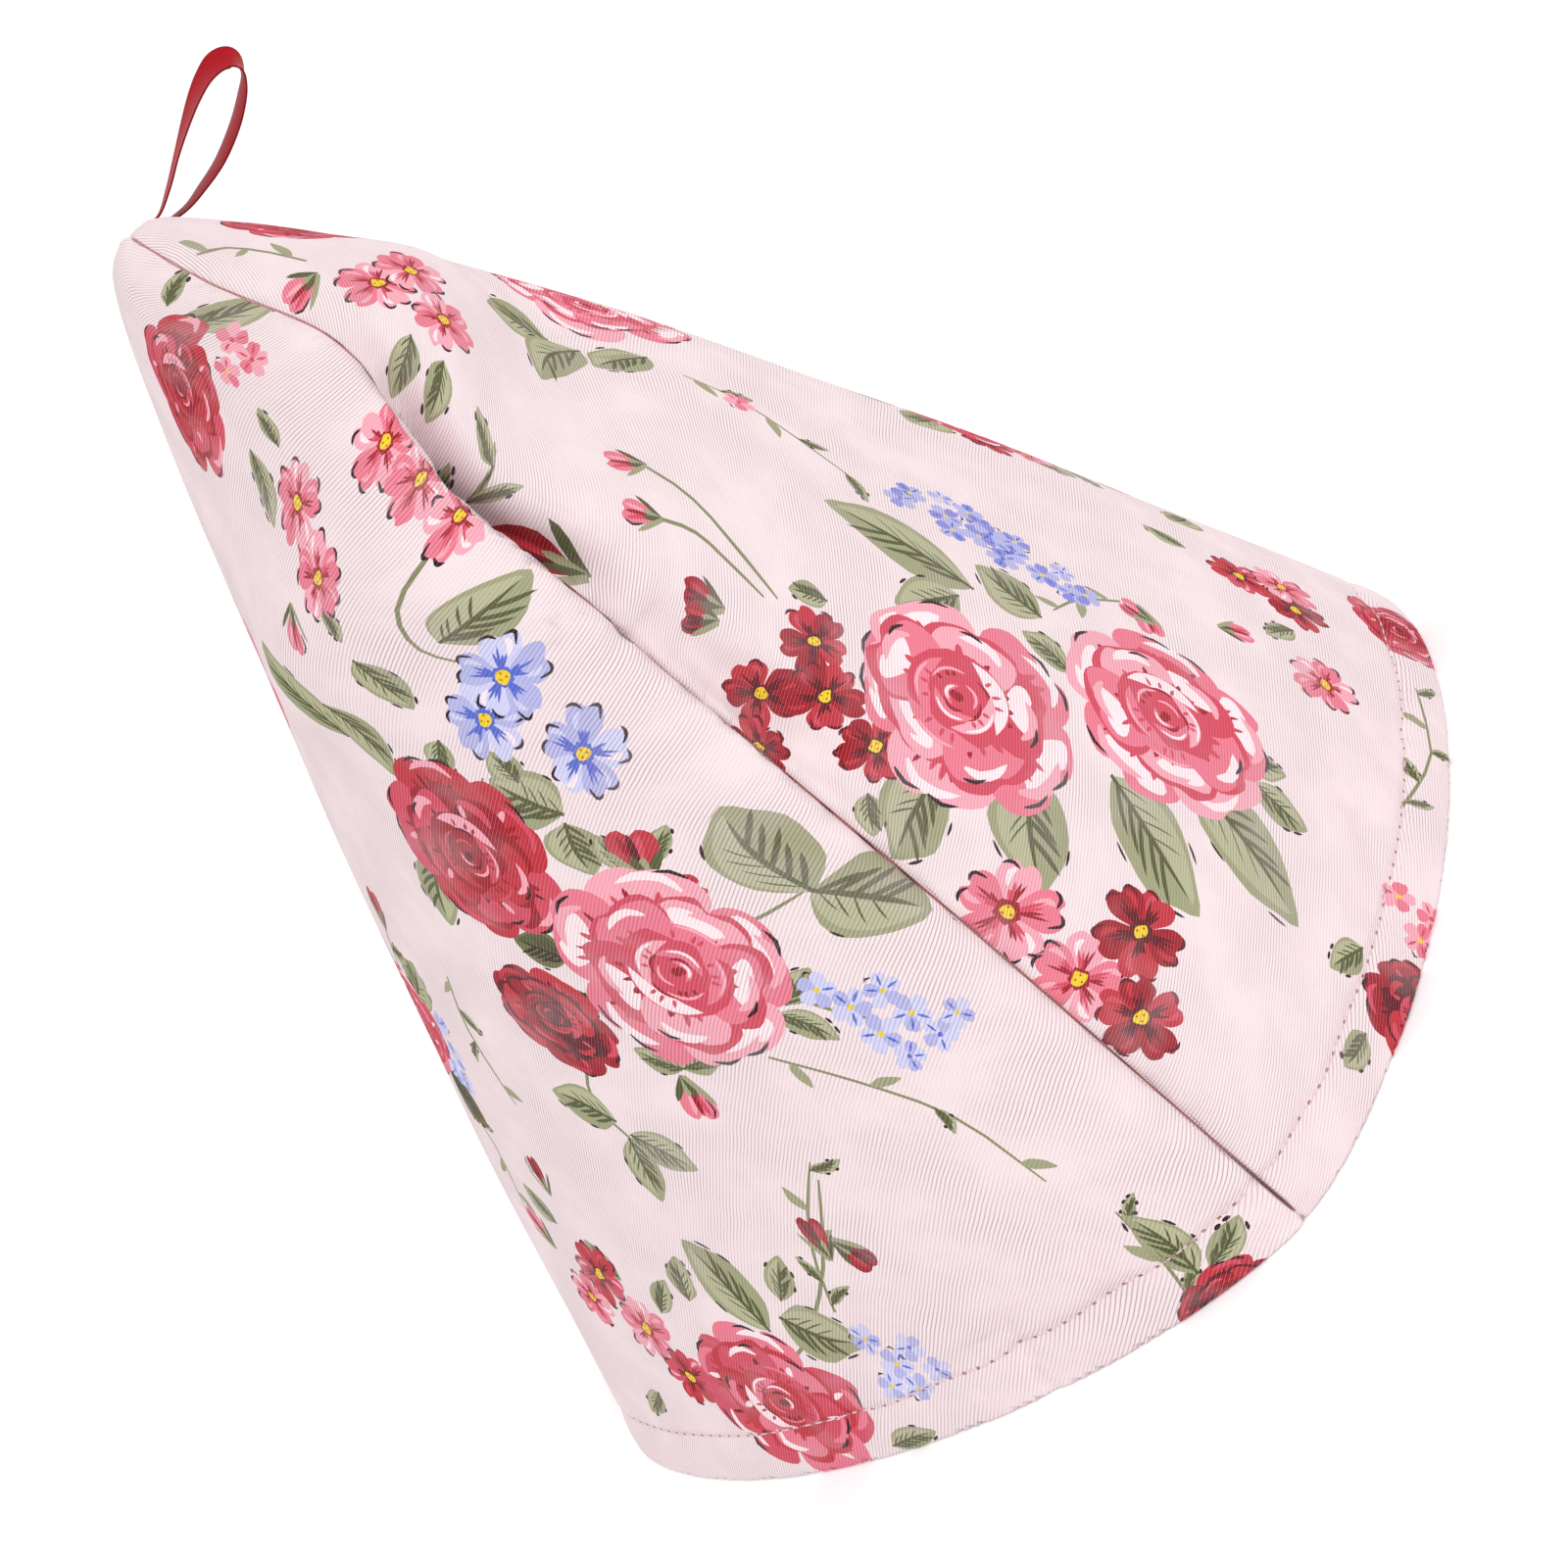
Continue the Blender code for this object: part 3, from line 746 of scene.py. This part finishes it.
rightSprays = {
    "stems": [[-74-32j, -69-37j, -62-40j]],
    "sprigs": [(4, 9, [-78-28j, -71-35j, -63-40j]), (5, 7, [-37-92j, -44-106j, -55-121j]),
        (5, 7, [-92-226j, -74-238j, -54-241j]), (3, 5, [-30-8j, -22-2j, -14+6j])],
    "leaves": [(-30, -70, -34, -52, 8), (-31, -76, -47, -61, 8), (-30, -88, -38, -76, 8),
        (-48, -20, -55, -16, 5), (-52, -28, -59, -25, 5), (-124, -208, -129, -200, 6),
        (-138, -206, -144, -200, 5), (-52, -214, -58, -206, 5), (-34, -196, -30, -188, 5)],
    "tiny": [("pink", (-42, -101, 3.2), (-114, -226, 3.4), (-119, -222, 3.6), (-112, -219, 3.2))],
    "buds": [(-33, -6, -33, 2, 5, "pink"), (-62, -195, -61, -202, 5, "pink"),
        (-66, -176, -73, -177, 6, "pink")],
    "flowers": [("pink", (-39, -17, 6.6), (-37, -28, 6.8), (-46, -31, 6.6)), ("red", (-37, -207, 7)),
        ("deep", (-42, -218, 7.4)), ("pink", (-33, -218, 7), (-67, -216, 7.4))],
    "roses": [(-15, -25, 14.5, 0.82, 0.78, "red"), (-10, -82, 18, 1.5, 0.87, "pink"),
        (-30, -246, 13, 0.2, 0.8, "red"), (-133, -219, 12, 0.6, 0.8, "deep")],
}


def drawGroup(group, seed, at):
    chance = random.Random(seed)
    patches = []
    for points in group["stems"]:
        drawStem(patches, [at + p for p in points])
    for leaves, long, points in group["sprigs"]:
        drawSprig(patches, [at + p for p in points], leaves, long, chance)
    for x, y, tipX, tipY, wide in group["leaves"]:
        drawLeaf(patches, at + complex(x, y), at + complex(tipX, tipY), wide, chance)
    for tone, *places in group["tiny"]:
        for x, y, size in places:
            drawTiny(patches, at + complex(x, y), size, tone, chance)
    for x, y, tipX, tipY, wide, tone in group["buds"]:
        drawBud(patches, at + complex(x, y), at + complex(tipX, tipY), wide, tone, chance)
    for tone, *places in group["flowers"]:
        for x, y, size in places:
            drawFlower(patches, at + complex(x, y), size, tone, chance)
    for x, y, size, lean, squash, tone in group["roses"]:
        drawRose(patches, at + complex(x, y), size, tone, lean, squash, chance)
    return patches


def drawPrint():
    patches = []
    for group, seed, at in (
        (leftSprays, 11, 0), (rightSprays, 19, 0), (bunchThree, 23, 1 - 157j),
        (bunchTwo, 7, -96 - 128j), (bunchOne, 3, 84 - 118j),
    ):
        patches += drawGroup(group, seed, at)
    return patches


# Panels

# The cut edge: up one seam from the hem, over the peak, down the other and back along the hem
def outlinePoints():
    order = np.arange(0, len(cut["rows"]) - 1, 2)
    slant, half = cut["slant"][order], cut["reach"][order] / cut["slant"][order]
    seam = np.stack([slant * np.sin(half), -slant * np.cos(half)], -1)
    mirrored = seam * (-1, 1)
    turns = np.linspace(-half[0], half[0], 160)[1:-1]
    hem = onArc(cut["long"], turns * cut["long"])
    return np.concatenate([seam, [[0, 0]], mirrored[::-1], hem])


# Distances from the seam and from the hem of the close rows. The even ones end further in, at "middle".
fine = {
    "step": 0.0027, "middle": 0.013,
    "seam": (0.0006, 0.0011, 0.0018, 0.0027, 0.0037, 0.0048, 0.006, 0.0072, 0.0085, 0.0099, 0.0115),
    "hem": (
        0.0002, 0.0005, 0.001, 0.0016, 0.003, 0.0055, 0.0078, 0.0088, 0.0095, 0.01, 0.0105, 0.0112, 0.0123,
    ),
}


# Points that carry the form between the print's edges, closer at the seams and the hem
def fillPoints():
    found = []
    levels = [cut["long"] - d for d in fine["hem"]]
    levels += list(np.arange(cut["long"] - 0.0145, 0.001, -fine["step"]))
    for k, distance in enumerate(levels):
        reach = reachAt(distance)
        half = reach - fine["middle"]
        count = max(int(2 * half / fine["step"]), 1)
        middle = (np.arange(count if half > 0.002 else 0) + (0.5 if k % 2 else 0.25)) / count * 2 - 1
        sides = [reach - d for d in fine["seam"] if d < reach]
        found.append(onArc(distance, np.concatenate([middle * half, sides, [-s for s in sides]])))
    return np.concatenate(found)


stitch = {
    "long": 0.0026, "step": 0.0033, "wide": 0.0004, "lift": 0.00004, "end": 0.0022,
    "blunt": 0.7, "dip": 0.00022, "holeShadeLong": 0.9, "holeShadeWide": 0.44,  # the painted shade of a stitch hole, in millimetres
}


def hemLine():  # the stitch line's distance from the peak, half its length and its number of stitches
    distance = cut["long"] - sewing["hemUp"]
    reach = reachAt(distance) - stitch["end"]
    return distance, reach, int(2 * reach / stitch["step"])


# The thin lines of painted shade beside both seams and the painted shade of the holes between the hem's
# stitches, as patches
def sewnLines():
    order = np.arange(2, len(cut["rows"]) - 6, 2)
    slant, reach = cut["slant"][order], cut["reach"][order]
    lines = []
    for side in (-1, 1):
        edge, inner = side * reach / slant, side * (reach - sewing["seamShade"]) / slant
        band = [complex(d * sin(a), -d * cos(a)) for d, a in zip(slant, edge)]
        band += [complex(d * sin(a), -d * cos(a)) for d, a in zip(slant[::-1], inner[::-1])]
        lines.append(([p / mm for p in band], "seamShade"))
    distance, reach, count = hemLine()
    # Each hole is a small dash of painted shade between two stitches
    half = stitch["holeShadeLong"] / 2
    low, high = distance / mm + stitch["holeShadeWide"] / 2, distance / mm - stitch["holeShadeWide"] / 2
    corners = ((-half, low), (half, low), (half * 0.8, high), (-half * 0.8, high))
    holeShade = [complex(x, -y) for x, y in corners]
    for way in np.arange(1, count) / count * 2 * reach - reach:
        turned = turnBy(1j * way / distance)
        lines.append(([p * turned for p in holeShade], "holeShade"))
    return lines


finest = {"gap": 0.02, "slack": 0.035, "speck": 0.03}  # what the print leaves out, in millimetres


def areaOf(points):
    return sum((a.conjugate() * b).imag for a, b in zip(points, points[1:] + points[:1])) / 2


def thinned(points, slack):  # leaves out points that lie almost on the line between their neighbours
    for _ in range(3):
        kept, dropped = [], False
        for k, point in enumerate(points):
            before, after = points[k - 1], points[(k + 1) % len(points)]
            span = abs(after - before)
            off = abs(((after - before).conjugate() * (point - before)).imag) / span if span > 1e-6 else 0
            dropped = not dropped and off < slack and len(points) > 4 and span > 1e-6
            if not dropped:
                kept.append(point)
        points = kept
    return points


# Patches that turn one way and aren't specks, with their double points left out
def tidyPatches(patches):
    kept = []
    for points, color in patches:
        points = [p for p, q in zip(points, points[1:] + points[:1]) if abs(p - q) > finest["gap"]]
        if len(points) < 3 or abs(areaOf(points)) < finest["speck"]:
            continue
        points = thinned(points, finest["slack"])
        kept.append((points if areaOf(points) > 0 else points[::-1], color))
    return kept


def innerFaces(ring):  # the plain inner side, on the same edge as the printed one but with fewer points
    fill = fillPoints()
    fill = fill[np.hypot(*fill.T) < cut["long"] - 0.0004]
    fill = fill[np.arange(len(fill)) % 3 != 1]
    spots = [Vector(p) for p in ring / mm] + [Vector(p) for p in fill / mm]
    edge = list(range(len(ring)))
    places, _, faces, origins, _, owners = delaunay_2d_cdt(spots, [], [edge], 1, 0.001, True)
    reached = {k: i for i, found in enumerate(origins) for k in found}
    inside = [face for face, owner in zip(faces, owners) if owner]
    return {"flat": np.array([p[:] for p in places]) * mm, "ring": [reached[k] for k in edge]}, inside


def buildPanel(name, side, node, material):
    outline, fill = outlinePoints() / mm, fillPoints() / mm
    if areaOf([complex(*p) for p in outline]) < 0:
        outline = outline[::-1]
    patches = tidyPatches(drawPrint() + sewnLines())
    spots = [Vector(p) for p in outline] + [Vector(p) for p in fill]
    loops, colors = [list(range(len(outline)))], ["ground"]
    for points, color in patches:
        loops.append(list(range(len(spots), len(spots) + len(points))))
        spots.extend(Vector((p.real, p.imag)) for p in points)
        colors.append(color)
    places, _, faces, _, _, owners = delaunay_2d_cdt(spots, [], loops, 1, 0.004, True)
    kept = [(face, max(owner)) for face, owner in zip(faces, owners) if 0 in owner]
    used = sorted({i for face, _ in kept for i in face})
    order = {i: k for k, i in enumerate(used)}
    flat = np.array([places[i] for i in used]) * mm
    front = [[order[i] for i in face] for face, _ in kept]
    edges = {(a, b) for face in front for a, b in zip(face, face[1:] + face[:1])}
    follows = {a: b for a, b in edges if (b, a) not in edges}
    ring = [min(follows)]
    while follows[ring[-1]] != ring[0]:
        ring.append(follows[ring[-1]])
    inner, inside = innerFaces(flat[ring])
    count = len(flat)
    back = [[i + count for i in face[::-1]] for face in inside]
    twin = dict(zip(ring, inner["ring"]))
    rim = [(b, a, twin[a] + count, twin[b] + count) for a, b in follows.items() if twin[a] != twin[b]]
    normals, inward = clothNormals(flat, side), -clothNormals(inner["flat"], side)
    points = np.concatenate([clothPoints(flat, side), clothPoints(inner["flat"], side, inner=True)])
    mesh = bpy.data.meshes.new(name)
    mesh.from_pydata(points.tolist(), [], front + back + [list(r) for r in rim])
    mesh.shade_smooth()
    loopVerts = np.zeros(len(mesh.loops), np.int32)
    mesh.loops.foreach_get("vertex_index", loopVerts)
    weave = mesh.uv_layers.new(name="weave")  # one unit is 100 mm of the flat cut
    places = np.concatenate([flat, inner["flat"]])[loopVerts] * 10
    weave.data.foreach_set("uv", places.astype(np.float32).ravel())
    faceColors = [inks[colors[top]] for _, top in kept] + [inks["ground"]] * (len(back) + len(rim))
    sizes = [len(f) for f in front] + [len(f) for f in back] + [4] * len(rim)
    shown = np.repeat(np.array([(*c, 1) for c in faceColors], np.float32), sizes, axis=0)
    layer = mesh.color_attributes.new("printColor", "FLOAT_COLOR", "CORNER")
    layer.data.foreach_set("color", shown.ravel())
    mesh.normals_split_custom_set_from_vertices(np.concatenate([normals, inward]).tolist())
    mesh.materials.append(material)
    piece = addObject(name, mesh)
    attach(piece, "root")
    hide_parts(node)
    print(name, "patches", len(patches), "triangles", len(front) + len(back) + 2 * len(rim))
    return piece


# Cotton twill: fine slanting ridges that also show as paler threads through the print, with painted shade in
# the valleys between them

twill = {  # pitches and depths in millimetres
    "pitch": 0.62, "stepPitch": 0.48, "stepLean": 3.0, "drift": 1.1,
    # "dark" is the strength of the painted shade in the twill's valleys
    "light": 0.26, "dark": 0.84, "bump": 0.09, "crumple": 1.8, "roughness": 0.86,
}


def cottonTwill(name, slant):
    shader = Shader(name)
    uv = shader.node("UVMap", {"uv_map": "weave"})
    x, y = (part * 100 for part in shader.split(uv))  # millimetres of cloth
    across = x * sin(radians(slant)) - y * cos(radians(slant)) + shader.noise(uv, 7.0) * twill["drift"]
    along = x * cos(radians(slant)) + y * sin(radians(slant))
    ridge = (across * (2 * pi / twill["pitch"])).wave()
    steps = (along * (2 * pi / twill["stepPitch"]) + across * twill["stepLean"]).wave()
    yarn = shader.noise(uv, 160.0, 2.0, 0.6)
    patch = shader.noise(uv, 6.0, 3.0, 0.55)
    strength = (patch * 2.6 - 0.75).held(0.12)
    printed = shader.node("Attribute", {"attribute_name": "printColor"})
    paler = ((ridge - 0.7) * 3.4).held(0) * (strength * 0.6 + 0.4) * (steps * 0.4 + 0.6) * (yarn * 0.8 + 0.5)
    color = shader.mixColor((paler * twill["light"]).math("MINIMUM", 1), printed, opaque(250, 234, 236))
    # Painted shade: the valleys between the ridges are darkened towards grey mauve
    valleyShade = ((0.28 - ridge) * 4.2).held(0) * strength * (steps * 0.3 + 0.7) * twill["dark"]
    color = shader.mixColor(valleyShade.math("MINIMUM", 1), color, opaque(126, 100, 112))
    color = shader.mixColor(((patch - 0.5) * 0.5).held(0), color, opaque(250, 240, 242))
    height = ridge * 0.6 + steps * ridge * 0.25 + yarn * 0.3
    ridges = shader.bump(0.55, twill["bump"] * mm, height)
    bump = shader.bump(0.6, twill["crumple"] * mm, shader.noise(uv, 3.4, 3.0), Normal=ridges)
    return shader.finish({
        "Base Color": color, "Roughness": yarn * 0.12 + (twill["roughness"] - 0.06), "Normal": bump,
        "Specular IOR Level": 0.08,
    })


print("drawing and cutting the cloth")
clothLeft = buildPanel("clothLeft", -1, "panel_left", cottonTwill("cottonLeft", 66))
clothRight = buildPanel("clothRight", 1, "panel_right", cottonTwill("cottonRight", -14))


# Hem stitches

def threadMaterial():
    shader = Shader("seamThread")
    place = shader.node("TexCoord", {}, {}, out="Object")
    fibre = shader.noise(place, 2600.0, 2.0)
    color = shader.mixColor(fibre, opaque(216, 184, 186), opaque(240, 216, 218))
    bump = shader.bump(0.5, 0.1 * mm, fibre)
    return shader.finish({"Base Color": color, "Roughness": 0.75, "Normal": bump, "Sheen Weight": 0.1})


def stitchTemplate(wide, long):
    bpy.ops.object.select_all(action="DESELECT")
    bpy.ops.mesh.primitive_uv_sphere_add(segments=8, ring_count=6, radius=1, location=(0, 0, 0))
    ball = bpy.context.object
    bpy.ops.object.mode_set(mode="EDIT")
    bpy.ops.mesh.select_all(action="SELECT")
    bpy.ops.transform.resize(value=(wide / 2, wide / 2, long / 2))
    bpy.ops.object.mode_set(mode="OBJECT")
    mesh = ball.data
    points = np.array([v.co[:] for v in mesh.vertices])
    faces = [list(f.vertices) for f in mesh.polygons]
    bpy.data.objects.remove(ball)
    share = points[:, 2] / (long / 2)
    points[:, 2] = np.sign(share) * np.abs(share) ** stitch["blunt"] * long / 2
    points[:, 0] -= stitch["dip"] * share ** 2  # both ends dip into the cloth
    return points, faces


def buildStitches(name, side, material):
    points, faces = stitchTemplate(stitch["wide"], stitch["long"])
    distance, reach, count = hemLine()
    ways = (np.arange(count) + 0.5) / count * 2 * reach - reach
    flat = onArc(distance, ways)
    turned = np.stack([np.cos(ways / distance), np.sin(ways / distance)], -1)
    middle = clothPoints(flat, side)
    along = unit(clothPoints(flat + turned * 0.0006, side) - clothPoints(flat - turned * 0.0006, side))
    out = clothNormals(flat, side)
    across = np.cross(along, out)
    allPoints, allFaces = [], []
    for k in range(count):
        base = len(allPoints)
        place = middle[k] + out[k] * stitch["lift"]
        allPoints.extend((place + points @ np.array([out[k], across[k], along[k]])).tolist())
        allFaces.extend([i + base for i in face] for face in faces)
    mesh = bpy.data.meshes.new(name)
    mesh.from_pydata(allPoints, [], allFaces)
    build = bmesh.new()
    build.from_mesh(mesh)
    bmesh.ops.recalc_face_normals(build, faces=build.faces)
    build.to_mesh(mesh)
    build.free()
    mesh.shade_smooth()
    mesh.materials.append(material)
    piece = addObject(name, mesh)
    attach(piece, "root")
    return piece


print("sewing the hem")
thread = threadMaterial()
stitchesLeft = buildStitches("hemStitchesLeft", -1, thread)
stitchesRight = buildStitches("hemStitchesRight", 1, thread)


# Ribbon loop

ribbon = {
    "wide": 0.006, "thick": 0.00034, "cup": 0.0003,
    "path": [  # x, y, z and twist in degrees, from the seam, round and back into it
        (-0.0024, 0.018, 0.215, 0), (-0.0028, 0.0172, 0.2185, 0), (-0.0027, 0.0162, 0.2222, 0),
        (-0.0002, 0.0153, 0.2235, 0), (0.0042, 0.014, 0.2228, -2), (0.0092, 0.013, 0.2248, 1),
        (0.0143, 0.0123, 0.2275, 3), (0.0199, 0.012, 0.2302, 10), (0.0245, 0.012, 0.2321, 18),
        (0.0281, 0.012, 0.2331, 26), (0.0315, 0.012, 0.2332, 38), (0.0337, 0.012, 0.2318, 38),
        (0.0336, 0.012, 0.2291, 10), (0.0312, 0.012, 0.2268, -6), (0.0272, 0.0122, 0.2244, -11),
        (0.023, 0.0125, 0.2226, -12), (0.0185, 0.013, 0.2212, -11), (0.014, 0.0138, 0.2205, -9),
        (0.0092, 0.0152, 0.2201, -5), (0.0045, 0.0182, 0.2207, 0), (0.0014, 0.0192, 0.2212, 0),
        (-0.0008, 0.0195, 0.22, 0), (-0.0018, 0.0198, 0.217, 0), (-0.002, 0.02, 0.214, 0),
    ],
}


def satinMaterial():
    shader = Shader("redSatin")
    uv = shader.node("UVMap", {"uv_map": "band"})
    along, across = shader.split(uv)
    rib = (across * (2 * pi / 0.34)).wave()
    glide = (along * (2 * pi / 0.9) + across * 3.0).wave()
    streak = shader.noise(uv, 1.6, 3.0, 0.6)
    color = shader.mixColor(streak, opaque(140, 0, 12), opaque(184, 8, 30))
    edge = ((across - 3.0).math("ABSOLUTE") - 2.55).math("MAXIMUM", 0) * 2.0
    color = shader.mixColor(edge.math("MINIMUM", 1) * 0.7, color, opaque(92, 2, 10))
    bump = shader.bump(0.35, 0.06 * mm, rib * 0.6 + glide * 0.3)
    return shader.finish({
        "Base Color": color, "Roughness": streak * 0.12 + 0.36, "Normal": bump, "Specular IOR Level": 0.12,
    })


def buildRibbon():
    bends = ribbon["path"]
    places = smoothLine([Vector(p[:3]) for p in bends], 6)
    twists = smoothLine([p[3] for p in bends], 6)
    across = np.linspace(-1, 1, 11)
    points, uvs = [], []
    walked = 0
    for i, (place, twist) in enumerate(zip(places, twists)):
        tangent = (places[min(i + 1, len(places) - 1)] - places[max(i - 1, 0)]).normalized()
        walked += (place - places[max(i - 1, 0)]).length
        level = (Vector((0, 1, 0)) - tangent * tangent.y).normalized()
        widthWay = level * cos(radians(twist)) + tangent.cross(level) * sin(radians(twist))
        thickWay = tangent.cross(widthWay).normalized()
        for share in across:
            bow = ribbon["cup"] * (1 - share ** 2) * sin(pi * i / (len(places) - 1))
            points.append(place + widthWay * (share * ribbon["wide"] / 2) - thickWay * bow)
            uvs.append((walked / mm, (share + 1) * ribbon["wide"] / 2 / mm))
    wide = len(across)
    faces = [
        (i * wide + k, i * wide + k + 1, (i + 1) * wide + k + 1, (i + 1) * wide + k)
        for i in range(len(places) - 1) for k in range(wide - 1)
    ]
    mesh = bpy.data.meshes.new("ribbon")
    mesh.from_pydata([p[:] for p in points], [], faces)
    layer = mesh.uv_layers.new(name="band")
    for loop in mesh.loops:
        layer.data[loop.index].uv = uvs[loop.vertex_index]
    piece = addObject("ribbon", mesh)
    bpy.ops.object.select_all(action="DESELECT")
    piece.select_set(True)
    bpy.context.view_layer.objects.active = piece
    shell = piece.modifiers.new("thickness", "SOLIDIFY")
    shell.thickness, shell.offset = ribbon["thick"], 0
    bpy.ops.object.modifier_apply(modifier=shell.name)
    mesh.shade_smooth()
    mesh.set_sharp_from_angle(angle=radians(50))
    mesh.materials.append(satinMaterial())
    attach(piece, "root")
    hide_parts("ribbon_loop")
    return piece


print("looping the ribbon")
buildRibbon()


# Room: a wide pale floor and wall, soft even light, the camera at the photo's angle

def floorMaterial():
    shader = Shader("paleFloor")
    place = shader.node("TexCoord", {}, {}, out="Object")
    grain = shader.noise(place, 40.0, 3.0)
    color = shader.mixColor(grain, (0.93, 0.93, 0.93, 1), (0.97, 0.97, 0.97, 1))
    return shader.finish({
        "Base Color": color, "Roughness": 0.9, "Specular IOR Level": 0.1,
        "Emission Color": (1, 1, 1, 1), "Emission Strength": 0.1,
    })


def addPlane(name, place, turned, material):
    bpy.ops.object.select_all(action="DESELECT")
    bpy.ops.mesh.primitive_plane_add(size=80, location=place, rotation=turned)
    plane = bpy.context.object
    plane.name = name
    bpy.ops.object.transform_apply()
    plane.data.materials.append(material)
    return plane


def buildFloor():
    material = floorMaterial()
    floor = addPlane("floor", (0, 0, -0.00004), (0, 0, 0), material)
    wall = addPlane("wall", (0, 40, -37), (pi / 2, 0, 0), material)


def buildCamera():
    view = {
        "elevation": 18.4, "turn": -3.5, "roll": -47.7, "far": 0.7949, "lens": 73.2,
        "aim": (0.0147, 0.1812, 0.0083),
    }
    up, turn, roll = radians(view["elevation"]), radians(view["turn"]), radians(view["roll"])
    back = Vector((sin(turn) * cos(up), -cos(turn) * cos(up), sin(up)))
    level = (-back).cross(Vector((0, 0, 1))).normalized()
    rise = level.cross(-back)
    right = level * cos(roll) + rise * sin(roll)
    top = rise * cos(roll) - level * sin(roll)
    data = bpy.data.cameras.new("camera")
    data.lens, data.sensor_width, data.clip_start = view["lens"], 36, 0.01
    camera = addObject("camera", data)
    place = Vector(view["aim"]) + back * view["far"]
    camera.matrix_world = Matrix.Translation(place) @ Matrix((right, top, back)).transposed().to_4x4()
    bpy.context.scene.camera = camera


def addSun(name, place, strength, softness):
    data = bpy.data.lights.new(name, "SUN")
    data.energy, data.angle = strength, radians(softness)
    light = addObject(name, data)
    light.location = place
    light.rotation_euler = (-Vector(place)).to_track_quat("-Z", "Y").to_euler()


print("lighting")
buildFloor()
buildCamera()
addSun("key", (0.45, -1.3, 1.6), 0.78, 22)
world = bpy.data.worlds.new("softRoom")
bpy.context.scene.world = world
world.use_nodes = True
background = world.node_tree.nodes["Background"].inputs
background["Color"].default_value = (1, 1, 1, 1)
background["Strength"].default_value = 0.92
bpy.context.scene.view_settings.view_transform = "Standard"

print("done")
